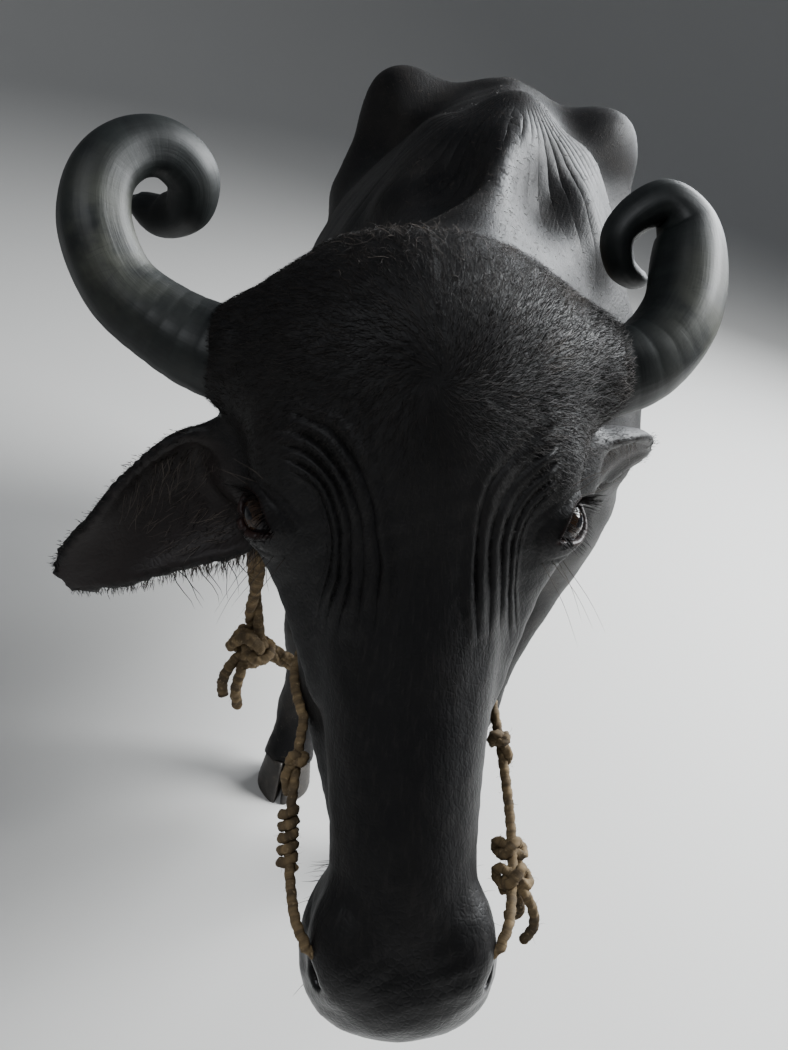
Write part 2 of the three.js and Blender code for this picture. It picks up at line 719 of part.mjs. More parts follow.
function claw(foot, inner) {
  const [x, y] = foot.at;
  const rings = [[0, 0.97], [10, 1], [40, 0.9], [null, 0.8]].map(([height, size]) => {
    const ring = [];
    for (let i = 0; i < 12; i++) {
      const angle = (i / 12) * 2 * Math.PI;
      const [c, s] = [Math.cos(angle), Math.sin(angle)];
      const rise = height === null ? 1 : height / CORONET.height;
      const long = s < 0 ? foot.toe : foot.heel;
      const narrow = s < 0 ? 1 - 0.45 * s * s : 1 - 0.12 * s * s;
      const reach = c > 0 ? foot.width * narrow : foot.width * 0.15;
      const across = 1.4 + foot.width * 0.15 + c * reach * size;
      const py = y + s * long * size + mix(-12, 4, rise);
      ring.push([x + inner * Math.max(across, 1.4), py, height ?? coronetAt(py, y) - GAP]);
    }
    return ring;
  });
  return loft(inner > 0 ? rings.map((r) => [...r].reverse()) : rings);
}

// The small horny knob behind the fetlock
function dewclaw(foot, inner) {
  const [x, y] = [foot.at[0] + inner * 22, foot.at[1] + foot.dew];
  const knob = curveOf([[x, y - 26, 150], [x, y, 138], [x + inner * 3, y + 6, 112]]);
  return solid(tube(knob, 3, 5, (t) => mix(15, 8, t), [1, 0, 0]));
}

const FEET = {
  fore_left: { at: [150, -414 + FORE_STEP.left], width: 44, toe: 66, heel: 54, dew: 58 },
  fore_right: { at: [-150, -414 + FORE_STEP.right], width: 44, toe: 66, heel: 54, dew: 58 },
  hind_left: { at: [156, 688 + HIND_STEP.left], width: 40, toe: 64, heel: 52, dew: 70 },
  hind_right: { at: [-156, 688 + HIND_STEP.right], width: 40, toe: 64, heel: 52, dew: 70 },
};

// Tail
const TAIL = [
  [0, 770, 1246, 36],
  [0, 850, 1226, 31],
  [2, 896, 1160, 25],
  [4, 906, 1050, 21],
  [4, 898, 920, 18],
  [2, 890, 790, 15],
  [0, 888, 690, 13],
];
const tailCurve = curveOf(TAIL.map(([x, y, z]) => [x, y, z]));
const tail = () => tube(tailCurve, 12, 8, (t) => mix(36, 12, t ** 0.6), [1, 0, 0]);

// One flat tapered lock of hair from a root along a way, bending down
function lock(root, way, length, width, droop) {
  const rings = [];
  const side = unit(cross(way, [0, 0, 1]));
  for (let i = 0; i <= 3; i++) {
    const t = i / 3;
    const at = add(root, add(scale(way, length * t), [0, 0, -droop * t * t]));
    const w = width * (1 - 0.85 * t ** 1.6);
    const thick = Math.max(w * 0.35, 1.4);
    const face = unit(cross(side, way));
    rings.push([[-w, 0], [0, thick], [w, 0], [0, -thick]].map(([a, b]) =>
      add(at, add(scale(side, a), scale(face, b)))));
  }
  return solid(loft(rings));
}

function tailSwitch() {
  const top = TAIL.at(-1);
  const pieces = [solid(tube(curveOf([
    [top[0], top[1], 687],
    [0, 888, 620],
    [0, 889, 540],
    [0, 890, 480],
  ]), 5, 8, (t) => mix(15, 7, t), [1, 0, 0]))];
  const rows = 2;
  const perRow = 5;
  for (let r = 0; r < rows; r++)
    for (let i = 0; i < perRow; i++) {
      const angle = ((i + 0.5 * (r % 2)) / perRow) * 2 * Math.PI;
      const out = [Math.cos(angle), Math.sin(angle), 0];
      const z = 662 - r * 76;
      const root = add([0, 888, z], scale(out, 6));
      const way = unit(add(scale(out, 0.2), [0, 0, -1]));
      pieces.push(lock(root, way, 165 + 14 * ((i * 3 + r) % 4), 15, 6));
    }
  return largest(join(pieces)).trimByPlane([0, 0, -1], -686);
}

// Ropes: a path held clear of the hide, with a section of two lobes that turns along it
function clearPath(points, closed, distance, count) {
  const curve = curveOf(points, closed);
  const out = [];
  for (let i = 0; i < (closed ? count : count + 1); i++) {
    const p = curve.getPointAt(i / count).toArray();
    out.push(flesh(p) < distance ? settle(flesh, p, distance, 12) : p);
  }
  return out;
}

function twisted(points, radius, steps, sides) {
  const turn = Math.PI / sides;
  const rings = frames(curveOf(points, true), steps, [0.3, 0.2, 1]).map((f, i) =>
    ringAt(f, sides, (angle) => {
      const lobe = radius * (1 + 0.16 * Math.cos(2 * (angle - i * turn)));
      return [lobe, lobe];
    }));
  return closedLoft(rings);
}

// Rings joined end to end, with the last one left out because it repeats the first
function closedLoft(rings) {
  const kept = rings.slice(0, -1);
  const count = kept[0].length;
  const total = kept.length * count;
  let turn = 0;
  const last = rings.at(-1);
  const gapTo = (k) => norm(sub(last[k % count], kept[0][0]));
  for (let k = 1; k < count; k++) if (gapTo(k) < gapTo(turn)) turn = k;
  const triangles = [];
  for (let r = 0; r < kept.length; r++)
    for (let i = 0; i < count; i++) {
      const wrap = r === kept.length - 1 ? count - turn : 0;
      const next = (k) => (((r + 1) * count) % total) + ((k + wrap) % count);
      const [a, b] = [r * count + i, r * count + ((i + 1) % count)];
      triangles.push([a, b, next(i + 1)], [a, next(i + 1), next(i)]);
    }
  return outward({ vertices: kept.flat(), triangles });
}

// A knot: wraps round a middle, each turned a little, and loose ends
function knot(at, axis, size, wraps, ends, radius) {
  const pieces = [];
  const first = unit(cross(axis, [0.2, 0.9, 0.4]));
  const second = cross(axis, first);
  for (let i = 0; i < wraps; i++) {
    const shift = (i / Math.max(wraps - 1, 1) - 0.5) * size;
    const tilt = (i % 2 ? 0.5 : -0.5) * size * 0.6;
    const points = [];
    for (let k = 0; k < 7; k++) {
      const angle = (k / 7) * 2 * Math.PI;
      const way = add(scale(first, Math.cos(angle)), scale(second, Math.sin(angle)));
      points.push(add(add(at, scale(axis, shift + tilt * Math.cos(angle))), scale(way, size * 0.42)));
    }
    const curve = curveOf(points, true);
    pieces.push(solid(closedLoft(frames(curve, 9, axis).map((f) => ringAt(f, 5, () => [radius, radius])))));
  }
  pieces.push(solid(tube(curveOf([add(at, scale(axis, -size * 0.6)), at, add(at, scale(axis, size * 0.6))]),
    2, 5, size * 0.4, first)));
  for (const end of ends) {
    const points = end.map((p) => add(at, p));
    pieces.push(solid(tube(curveOf([at, ...points]), 4, 5, (t) => radius * mix(0.95, 0.6, t), [1, 0.2, 0])));
  }
  return largest(join(pieces));
}

const NOSE_ROPE = {
  radius: 4,
  half: [
    [322, 0, -66],
    [322, 30, -56],
    [318, 52, -40],
    [297, 72, -42],
    [270, 80, -66],
    [237, 82, -85],
    [189, 78, -104],
    [150, 72, -120],
    [100, 66, -156],
    [58, 70, -186],
    [10, 84, -208],
    [-56, 100, -222],
    [-114, 100, -212],
    [-160, 72, -174],
    [-190, 38, -140],
    [-198, 0, -132],
  ],
};

function noseRope() {
  const { half, radius } = NOSE_ROPE;
  const mirrored = half.slice(1, -1).reverse().map(([u, v, w]) => [u, -v, w]);
  const free = (list) => list.map((q) => fromHead(q));
  const start = half.slice(0, 4);
  const side = (rows) => clearPath(free(rows), false, radius * 1.6 + 3, 18);
  const left = side(half.slice(3));
  const right = side([...mirrored.slice(0, -2), mirrored.at(-2)].slice(0, mirrored.length - 2));
  const loop = [
    ...free(start).slice(0, 3),
    ...left,
    ...right,
    ...free(start.slice(1, 3).reverse().map(([u, v, w]) => [u, -v, w])),
  ];
  return twisted(loop, radius, 64, 5);
}

// The neck rope: over the dip behind the poll, down both sides and hanging free under the throat
const COLLAR = {
  radius: 8,
  clear: 18,
  path: [
    [-55, -1045, 1275],
    [-125, -1035, 1225],
    [-170, -1020, 1120],
    [-178, -1005, 1000],
    [-172, -995, 900],
    [-158, -992, 815],
    [-110, -985, 785],
    [-45, -980, 795],
    [20, -985, 845],
    [64, -992, 930],
    [80, -1005, 1030],
    [72, -1022, 1130],
    [28, -1038, 1232],
  ],
  knot: [-166, -1002, 806],
};

function collarPath() {
  const { path, clear } = COLLAR;
  return path.map((p) => (flesh(p) < clear ? settle(flesh, p, clear, 40) : p));
}

// Draws in the very short edges that cuts leave, where the surface hardly moves
const SHORT = 1;
const SLIVER = 9;
const MOVE = 0.1;
function cleaned({ vertices, triangles }) {
  const faces = vertices.map(() => new Set());
  const kept = triangles.map((t) => [...t]);
  kept.forEach((t, f) => t.forEach((v) => faces[v].add(f)));
  const around = (v) => new Set([...faces[v]].flatMap((f) => kept[f]).filter((w) => w !== v));
  const facing = (a, b, c) => cross(sub(b, a), sub(c, a));
  const canMove = (from, to, tiny) => {
    const shared = [...around(from)].filter((v) => faces[v].size && around(to).has(v));
    if (shared.length !== 2) return false;
    return [...faces[from]].every((f) => {
      if (kept[f].includes(to)) return true;
      const before = facing(...kept[f].map((v) => vertices[v]));
      const after = facing(...kept[f].map((v) => vertices[v === from ? to : v]));
      if (norm(after) < 1e-3) return false;
      const off = Math.abs(dot(unit(after), sub(vertices[from], vertices[to])));
      if (tiny) return norm(before) < 0.2 || (dot(before, after) > 0 && off < 2 * MOVE);
      return off < MOVE && dot(unit(before), unit(after)) > 0.5;
    });
  };
  const move = (from, to) => {
    for (const f of [...faces[from]]) {
      if (kept[f].includes(to)) kept[f].forEach((v) => faces[v].delete(f));
      else {
        kept[f] = kept[f].map((v) => (v === from ? to : v));
        faces[to].add(f);
      }
      faces[from].delete(f);
    }
  };
  for (const longest of [SHORT, SHORT, SLIVER, SLIVER])
    for (let f = 0; f < kept.length; f++)
      for (let e = 0; e < 3; e++) {
        const [a, b] = [kept[f][e], kept[f][(e + 1) % 3]];
        if (!faces[a].has(f) || norm(sub(vertices[a], vertices[b])) > longest) continue;
        const tiny = longest === SHORT;
        if (canMove(a, b, tiny)) move(a, b);
        else if (canMove(b, a, tiny)) move(b, a);
      }
  const live = kept.filter((t, f) => faces[t[0]].has(f));
  return { vertices, triangles: live };
}

// Nodes
const MATERIALS = {
  hide: { color: 0x262427, roughness: 0.55, metalness: 0 },
  muzzle: { color: 0x1b1a1d, roughness: 0.4, metalness: 0 },
  horn: { color: 0x353a34, roughness: 0.38, metalness: 0 },
  hoof: { color: 0x2c2925, roughness: 0.5, metalness: 0 },
  eye: { color: 0x0c0a0b, roughness: 0.08, metalness: 0 },
  hair: { color: 0x1a181a, roughness: 0.8, metalness: 0 },
  udder: { color: 0x3a3334, roughness: 0.6, metalness: 0 },
  rope: { color: 0x5d4f38, roughness: 0.9, metalness: 0 },
};

const buffalo = new THREE.Group();
buffalo.name = "water_buffalo";

// The points and faces of a solid, with the vertices that the library splits joined again
function surfaceOf(made) {
  const { vertProperties, triVerts, numProp, mergeFromVert, mergeToVert } = made.getMesh();
  const vertices = [];
  for (let i = 0; i < vertProperties.length; i += numProp)
    vertices.push([vertProperties[i], vertProperties[i + 1], vertProperties[i + 2]]);
  const same = vertices.map((_, i) => i);
  mergeFromVert?.forEach((from, i) => (same[from] = mergeToVert[i]));
  const triangles = [];
  for (let i = 0; i < triVerts.length; i += 3)
    triangles.push([same[triVerts[i]], same[triVerts[i + 1]], same[triVerts[i + 2]]]);
  return { vertices, triangles };
}

function node(name, made, kind) {
  const { vertices, triangles } = cleaned(surfaceOf(largest(made)));
  const geometry = new THREE.BufferGeometry();
  geometry.setAttribute("position", new THREE.Float32BufferAttribute(vertices.flat(), 3));
  geometry.setIndex(triangles.flat());
  geometry.computeVertexNormals();
  const mesh = new THREE.Mesh(geometry, new THREE.MeshStandardMaterial(MATERIALS[kind]));
  mesh.name = name;
  buffalo.add(mesh);
  return mesh;
}

function buildHead(fittings) {
  const grid = netOf(flesh, HEAD_FRAME, [
    lines(-330, [-200, 36], [-56, 23], [52, 15.4], [256, 31], [400, 16.4]),
    lines(-190, [190, 18.6]),
    lines(-330, [-150, 32], [-100, 21], [50, 17]),
  ]);
  let made = keepAhead(solid(grid), HEAD_CUT);
  for (const s of [1, -1]) {
    const lids = ball(eyeAt(s), [EYE_RADIUS + 6, EYE_RADIUS + 6, EYE_RADIUS + 6], HEAD_FRAME, 14, 9);
    made = made.add(lids).subtract(lidOpening(s)).subtract(nostril(s));
    const socket = EYE_RADIUS + GAP;
    made = made.subtract(ball(eyeAt(s), [socket, socket, socket], HEAD_FRAME, 14, 9));
  }
  made = made.subtract(mouthLine());
  for (const piece of fittings) made = made.subtract(solid(grown(piece, 2 * GAP)));
  node("head", made, "hide");
}

function buildTrunk(udder, tailPiece) {
  const around = netOf(flesh, BODY_FRAME, evenLines([-427, -900, 420], [427, 1000, 1450], [74, 84, 68]));
  let torso = keepBehind(solid(around), NECK_CUT);
  for (const s of [1, -1]) {
    torso = torso.subtract(legBox(s, "fore", 0, ELBOW, HALF_GAP));
    torso = torso.subtract(legBox(s, "hind", 0, STIFLE, HALF_GAP));
  }
  torso = torso.subtract(solid(grown(tailPiece, GAP))).subtract(solid(grown(udder, GAP)));
  node("torso", torso, "hide");
  const upper = netOf(flesh, BODY_FRAME, evenLines([-230, -1300, 600], [230, -470, 1420], [44, 47, 46]));
  node("neck", keepBehind(keepAhead(solid(upper), NECK_CUT), HEAD_CUT), "hide");
}

function buildLeg(s, kind, udder) {
  const name = `${kind}_${sideName(s)}`;
  const foot = FEET[name];
  const [joint, top] = kind === "fore" ? [KNEE, ELBOW] : [HOCK, STIFLE];
  const [front, back] = kind === "fore" ? [-640, -100] : [400, 960];
  const x = s > 0 ? [40, 380] : [-380, -40];
  const net = (low, high, cell) =>
    netOf(flesh, BODY_FRAME, evenLines([x[0], front, low], [x[1], back, high], cell));
  const high = net(joint - 80, top + 66, [32, 35, 43]);
  let upper = solid(high).intersect(legBox(s, kind, joint - 60, top, -HALF_GAP));
  if (kind === "hind") upper = upper.subtract(solid(grown(udder, GAP)));
  node(`leg_${name}_upper`, upper.trimByPlane([0, 0, 1], joint + HALF_GAP), "hide");
  const low = net(-6, joint + 70, [25.5, 27.5, 40]);
  const sole = plane([0, foot.at[1], CORONET.height], [0, CORONET.slope, 1]);
  const lower = solid(low).trimByPlane([0, 0, -1], -joint + HALF_GAP);
  const shank = lower.trimByPlane(sole.normal, sole.offset);
  node(`leg_${name}_lower`, join([shank, dewclaw(foot, 1), dewclaw(foot, -1)]), "hide");
  for (const inner of [1, -1]) {
    const outer = inner === s ? "outer" : "inner";
    node(`hoof_${name}_${outer}`, solid(claw(foot, inner)), "hoof");
  }
}

const ROPE_KNOTS = [
  [[186, -77, -100], 7],
  [[171, 73, -100], 7],
  [[266, 82, -72], 13],
];

function buildRopes(nose) {
  const knots = ROPE_KNOTS.map(([at, size]) => {
    const place = settle(flesh, fromHead(at), size * 0.8 + 1, 12);
    return ball(toHead(place), [size * 1.15, size * 0.9, size * 0.85], HEAD_FRAME, 8, 5);
  });
  node("nose_rope", join([solid(nose), ...knots]), "rope");
  const path = collarPath();
  const ring = twisted(path, COLLAR.radius, 46, 5);
  const at = COLLAR.knot;
  const ends = [[[-8, -6, -26], [-14, -4, -52]], [[10, 8, -24], [14, 14, -44]]];
  const big = knot(at, unit([0.5, 0.3, -0.8]), 38, 3, ends, 7.5);
  node("neck_rope", join([solid(ring), big]), "rope");
}

const horns = { left: horn("left"), right: horn("right") };
const ears = { left: ear("left"), right: ear("right") };
const nose = noseRope();
const udder = netOf(udderForm, BODY_FRAME, evenLines([-150, 360, 470], [150, 800, 860], [38, 42, 36]));
const tailPiece = tail();
buildHead([horns.left, horns.right, ears.left, ears.right, nose]);
buildTrunk(udder, tailPiece);
for (const s of [1, -1]) {
  const side = sideName(s);
  node(`horn_${side}`, solid(horns[side]), "horn");
  node(`ear_${side}`, solid(ears[side]), "hide");
  node(`eye_${side}`, ball(eyeAt(s), [EYE_RADIUS, EYE_RADIUS, EYE_RADIUS], HEAD_FRAME, 14, 9), "eye");
  buildLeg(s, "fore", udder);
  buildLeg(s, "hind", udder);
}
node("tail", solid(tailPiece), "hide");
node("tail_switch", tailSwitch(), "hair");
node("udder", solid(udder), "udder");
buildRopes(nose);

// The origin is under the middle of the whole, on the floor
const whole = new THREE.Box3().setFromObject(buffalo);
const shift = whole.getCenter(new THREE.Vector3());
for (const mesh of buffalo.children) mesh.geometry.translate(-shift.x, -shift.y, -whole.min.z);

export default buffalo;
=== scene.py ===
import math

import bmesh
import bpy
import numpy as np
from mathutils import Matrix, Vector

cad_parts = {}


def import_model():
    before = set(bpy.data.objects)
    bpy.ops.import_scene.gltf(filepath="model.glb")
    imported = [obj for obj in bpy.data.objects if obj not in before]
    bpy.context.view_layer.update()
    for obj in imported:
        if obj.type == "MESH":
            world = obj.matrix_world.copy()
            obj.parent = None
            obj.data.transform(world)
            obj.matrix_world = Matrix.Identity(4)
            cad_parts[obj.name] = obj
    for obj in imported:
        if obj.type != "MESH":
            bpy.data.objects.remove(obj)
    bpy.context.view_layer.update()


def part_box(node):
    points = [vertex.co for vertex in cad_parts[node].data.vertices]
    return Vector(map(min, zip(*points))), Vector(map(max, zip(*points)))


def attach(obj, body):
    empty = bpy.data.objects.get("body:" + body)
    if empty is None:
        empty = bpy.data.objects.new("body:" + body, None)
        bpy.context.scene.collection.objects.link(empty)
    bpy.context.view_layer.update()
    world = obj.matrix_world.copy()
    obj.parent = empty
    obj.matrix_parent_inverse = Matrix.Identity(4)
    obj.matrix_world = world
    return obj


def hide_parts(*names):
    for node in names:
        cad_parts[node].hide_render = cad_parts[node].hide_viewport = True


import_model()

# Lengths are millimetres in the model's own frame until a mesh is made.
# The head has a frame of its own: u down the face, v to its left, w out of the face.
HEAD_AT = np.array([-27.5, -1323.6, 1160.0])
HEAD_PITCH, HEAD_YAW, HEAD_ROLL = np.radians([61.8, 23.3, 16.7])
COAT_DEPTH = 2.0
EYE_RADIUS = 21.0
EYE_AT = (6.0, 98.0, -43.0)
NOSTRIL_AT = (312.0, 46.0, -50.0)
OPENING = (43.0, 30.0)  # of the lids, its length and height
# How far back each foot is set, on the left (1) and the right (-1). A leg leans that way
# from the height STEP_FROM down, over STEP_FADE.
FORE_STEP = {1: -10.0, -1: 170.0}
HIND_STEP = {1: -60.0, -1: 30.0}
STEP_FROM, STEP_FADE = 760.0, 600.0
CORONET_HEIGHT = 64.0
CORONET_SLOPE = 0.22
HEAD_CELL = 4.8
BODY_CELL = 14.5
BLOCK = 4  # cells along the edge of a block that is tried as one
NECK_JOIN = -285.0
EAR_FRONT = -60.0
FACE_FROM = -230.0
WHORL = (-80.0, 6.0)  # of the hair on the forehead
SEED = 20


def unit(v):
    v = np.asarray(v, float)
    return v / np.maximum(np.linalg.norm(v, axis=-1, keepdims=True), 1e-9)


def head_axes():
    pitch, yaw, roll = HEAD_PITCH, HEAD_YAW, HEAD_ROLL
    u = np.array([
        np.sin(yaw) * np.cos(pitch),
        -np.cos(yaw) * np.cos(pitch),
        -np.sin(pitch),
    ])
    level = np.array([np.cos(yaw), np.sin(yaw), 0.0])
    out = np.cross(u, level)
    out = -out if out[2] < 0 else out
    v = level * np.cos(roll) + out * np.sin(roll)
    w = out * np.cos(roll) - level * np.sin(roll)
    return np.array([u, v, w])


HEAD = head_axes()


def to_head(p):
    return (p - HEAD_AT) @ HEAD.T


def from_head(q):
    return HEAD_AT + np.asarray(q, float) @ HEAD


def on_side(place, s):
    """A place given for the left side, taken to the side s: 1 is the left, -1 the right."""
    return np.array([place[0], s * place[1], place[2]])


def side_name(s):
    return "left" if s > 0 else "right"


# The eye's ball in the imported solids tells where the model's own frame lies.
low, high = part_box("eye_left")
SHIFT = from_head(EYE_AT) - 1000 * (np.array(low) + np.array(high)) / 2


def world(p):
    return (np.asarray(p, float) - SHIFT) / 1000


def smooth_step(x, low, high):
    t = np.clip((x - low) / (high - low), 0, 1)
    return t * t * (3 - 2 * t)


def bell(x, middle, width):
    return np.exp(-(((x - middle) / width) ** 2))


def round_angles(count):
    return np.linspace(0, 2 * math.pi, count, endpoint=False)


def wobble(p, size, seed=0):
    """A smooth field between about -1 and 1 whose swells are about size long."""
    rng = np.random.default_rng(seed)
    total = np.zeros(len(p))
    for _ in range(5):
        way = unit(rng.normal(size=3)) * (2 * math.pi / size) * rng.uniform(0.6, 1.7)
        total += np.sin(p @ way + rng.uniform(0, 6.28)) * rng.uniform(0.6, 1.0)
    return total / 2.6


# Fields: negative inside, in millimetres
def smooth_min(a, b, k):
    h = np.maximum(k - np.abs(a - b), 0) / k
    return np.minimum(a, b) - h * h * k / 4


def smooth_max(a, b, k):
    return -smooth_min(-a, -b, k)


def ellipsoid(centre, radii):
    centre, radii = np.array(centre, float), np.array(radii, float)

    def field(p):
        q = p - centre
        k0 = np.linalg.norm(q / radii, axis=1)
        k1 = np.linalg.norm(q / radii**2, axis=1) + 1e-9
        return k0 * (k0 - 1) / k1

    return field


def cone(a, b, ra, rb):
    a, b = np.array(a, float), np.array(b, float)
    ab = b - a

    def field(p):
        t = np.clip((p - a) @ ab / (ab @ ab), 0, 1)
        return np.linalg.norm(p - a - t[:, None] * ab, axis=1) - (ra + (rb - ra) * t)

    return field


def tube(points, radius):
    """A chain of cones through points; radius is one number or one for each point."""
    points = np.asarray(points, float)
    radii = np.broadcast_to(radius, len(points))
    chain = [cone(points[i], points[i + 1], radii[i], radii[i + 1]) for i in range(len(points) - 1)]

    def field(p):
        d = np.full(len(p), 1e4)
        for link in chain:
            d = np.minimum(d, link(p))
        return d

    return field


def eased(rows, steps=6):
    """Rows eased through a cubic, ready to be read along their first column."""
    r = np.array(sorted(rows, key=lambda row: row[0]), float)
    slope = np.diff(r, axis=0) / np.diff(r[:, 0])[:, None]
    tangent = (np.vstack([slope[:1], slope]) + np.vstack([slope, slope[-1:]])) / 2
    fine = []
    for i in range(len(slope)):
        span = r[i + 1, 0] - r[i, 0]
        for j in range(steps):
            s = j / steps
            fine.append(
                (2 * s**3 - 3 * s**2 + 1) * r[i]
                + (s**3 - 2 * s**2 + s) * span * tangent[i]
                + (3 * s**2 - 2 * s**3) * r[i + 1]
                + (s**3 - s**2) * span * tangent[i + 1]
            )
    fine.append(r[-1])
    return np.array(fine)


def sections(along, side, up, rows, power_up, power_down, cap):
    """Rows: place, side and up of its middle, half width, reach up, reach down."""
    table = eased(rows)
    middle = (table[0, 0] + table[-1, 0]) / 2
    half = (table[-1, 0] - table[0, 0]) / 2

    def field(p):
        t = p[:, along]
        at_side, at_up, width, above, below = (
            np.interp(t, table[:, 0], table[:, i]) for i in range(1, 6)
        )
        a, b = p[:, side] - at_side, p[:, up] - at_up
        power = np.where(b > 0, power_up, power_down)
        tall = np.where(b > 0, b / above, -b / below)
        rho = (np.abs(a / width) ** power + tall**power) ** (1 / power) + 1e-6
        reach = np.hypot(a, b)
        d = np.where(reach < 1, -np.minimum(width, above), reach * (1 - 1 / rho))
        return smooth_max(d, np.abs(t - middle) - half, cap)

    return field


def boxed(field, low, high, far=500.0):
    """The field inside a box, and a far value outside it, to save time."""

    def inside(p):
        d = np.full(len(p), far)
        near = np.all((p > low) & (p < high), axis=1)
        if near.any():
            d[near] = field(p[near])
        return d

    return inside


def form(steps):
    """Steps of (field, blend) join; (field, blend, "cut") takes away."""

    def field(p):
        d = steps[0][0](p)
        for step in steps[1:]:
            if len(step) == 3:
                d = smooth_max(d, -step[0](p), step[1])
            else:
                d = smooth_min(d, step[0](p), step[1])
        return d

    return field


def both_sides(make):
    return [*make(1), *make(-1)]


# Trunk and neck: y, x, z, half width, reach up, reach down
TRUNK = [
    [-640, 0, 960, 150, 230, 240],
    [-560, 0, 960, 198, 330, 320],
    [-430, 0, 930, 232, 402, 345],
    [-250, 0, 900, 275, 415, 335],
    [-50, 0, 890, 306, 408, 335],
    [150, 0, 890, 322, 406, 330],
    [330, 0, 900, 312, 404, 310],
    [470, 0, 960, 268, 348, 305],
    [600, 0, 1020, 232, 286, 285],
    [740, 0, 1040, 186, 238, 235],
    [850, 0, 1050, 122, 175, 190],
]
NECK = [
    [-1190, -62, 1182, 82, 84, 95],
    [-1080, -52, 1158, 106, 112, 150],
    [-980, -42, 1116, 116, 150, 195],
    [-860, -28, 1075, 126, 188, 240],
    [-740, -14, 1040, 144, 226, 285],
    [-620, -5, 1000, 174, 286, 320],
    [-500, 0, 970, 200, 345, 340],
]
# Legs: z, x, y, half width, reach back, reach forward
FORELEG = [
    [820, 200, -430, 62, 112, 112],
    [700, 193, -400, 68, 100, 94],
    [600, 176, -398, 61, 75, 71],
    [500, 162, -396, 51, 59, 57],
    [430, 155, -395, 47, 50, 50],
    [392, 152, -395, 50, 50, 51],
    [350, 151, -393, 45, 43, 46],
    [300, 150, -391, 37, 38, 36],
    [220, 150, -388, 36, 39, 35],
    [162, 150, -388, 43, 44, 41],
    [115, 150, -402, 41, 41, 39],
    [75, 150, -414, 50, 47, 46],
    [20, 150, -424, 54, 50, 54],
]
HINDLEG = [
    [1160, 140, 650, 75, 150, 150],
    [1050, 165, 640, 90, 190, 190],
    [950, 180, 622, 88, 192, 204],
    [850, 184, 602, 80, 166, 188],
    [760, 184, 612, 70, 132, 158],
    [680, 179, 650, 60, 106, 118],
    [600, 170, 705, 51, 85, 85],
    [540, 162, 748, 46, 70, 62],
    [490, 160, 756, 44, 55, 55],
    [430, 158, 750, 39, 45, 45],
    [330, 157, 740, 36, 40, 37],
    [230, 156, 730, 36, 40, 36],
    [165, 156, 722, 42, 45, 42],
    [115, 156, 703, 40, 40, 39],
    [75, 156, 688, 48, 46, 46],
    [20, 156, 678, 52, 50, 54],
]
TAIL = [
    [0, 770, 1246, 36],
    [0, 850, 1226, 30],
    [2, 896, 1160, 24],
    [4, 906, 1050, 20.5],
    [4, 898, 920, 17.5],
    [2, 890, 790, 15],
    [0, 888, 690, 13],
    [0, 889, 560, 9],
]
# Feet: x, y of the middle, half width, reach to toe and heel, place of the dewclaws
FEET = {
    "fore_left": (150, -414 + FORE_STEP[1], 44, 66, 54, 58),
    "fore_right": (-150, -414 + FORE_STEP[-1], 44, 66, 54, 58),
    "hind_left": (156, 688 + HIND_STEP[1], 40, 64, 52, 70),
    "hind_right": (-156, 688 + HIND_STEP[-1], 40, 64, 52, 70),
}


def step_at(z, step):
    return min(max((STEP_FROM - z) / STEP_FADE, 0), 1) * step


def leg_rows(rows, side, step):
    return [[z, side * x, y + step_at(z, step), w, back, front] for z, x, y, w, back, front in rows]


def leg(rows, side, step):
    rows = leg_rows(rows, side, step)
    table = np.array(rows)
    low = [table[:, 1].min() - 230, (table[:, 2] - table[:, 5]).min() - 110, -80]
    high = [table[:, 1].max() + 230, (table[:, 2] + table[:, 4]).max() + 110, table[0, 0] + 200]
    return boxed(sections(2, 0, 1, rows, 2, 2, 20), low, high)


def hindleg(side):
    step = HIND_STEP[side]
    tendon = cone(
        [side * 176, 740 + step_at(720, step), 720],
        [side * 162, 812 + step_at(575, step), 575],
        18, 22)
    return form([(leg(HINDLEG, side, step),), (tendon, 40)])


def trunk_relief(s):
    return [
        (cone([s * 60, 440, 1246], [s * 206, 432, 1208], 30, 44), 80),
        (cone([s * 214, 430, 1240], [s * 250, 390, 1040], 44, 60), 110),
        (cone([s * 206, 450, 1206], [s * 112, 800, 1156], 38, 36), 90),
        (ellipsoid([s * 104, 832, 1150], [42, 44, 50]), 70),
        (ellipsoid([s * 190, 640, 1060], [80, 110, 105]), 90),
        (cone([s * 80, -440, 1262], [s * 190, -590, 960], 46, 62), 70),
        (ellipsoid([s * 190, -430, 900], [78, 150, 200]), 80),
        (cone([s * 20, -450, 1318], [s * 116, -570, 1206], 14, 30), 46),
        (ellipsoid([s * 62 - 6, -650, 1272], [25, 92, 34]), 50, "cut"),
        (ellipsoid([s * 290, 255, 1200], [62, 90, 60]), 90, "cut"),
        (ellipsoid([s * 225, 650, 1262], [52, 120, 52]), 70, "cut"),
    ]


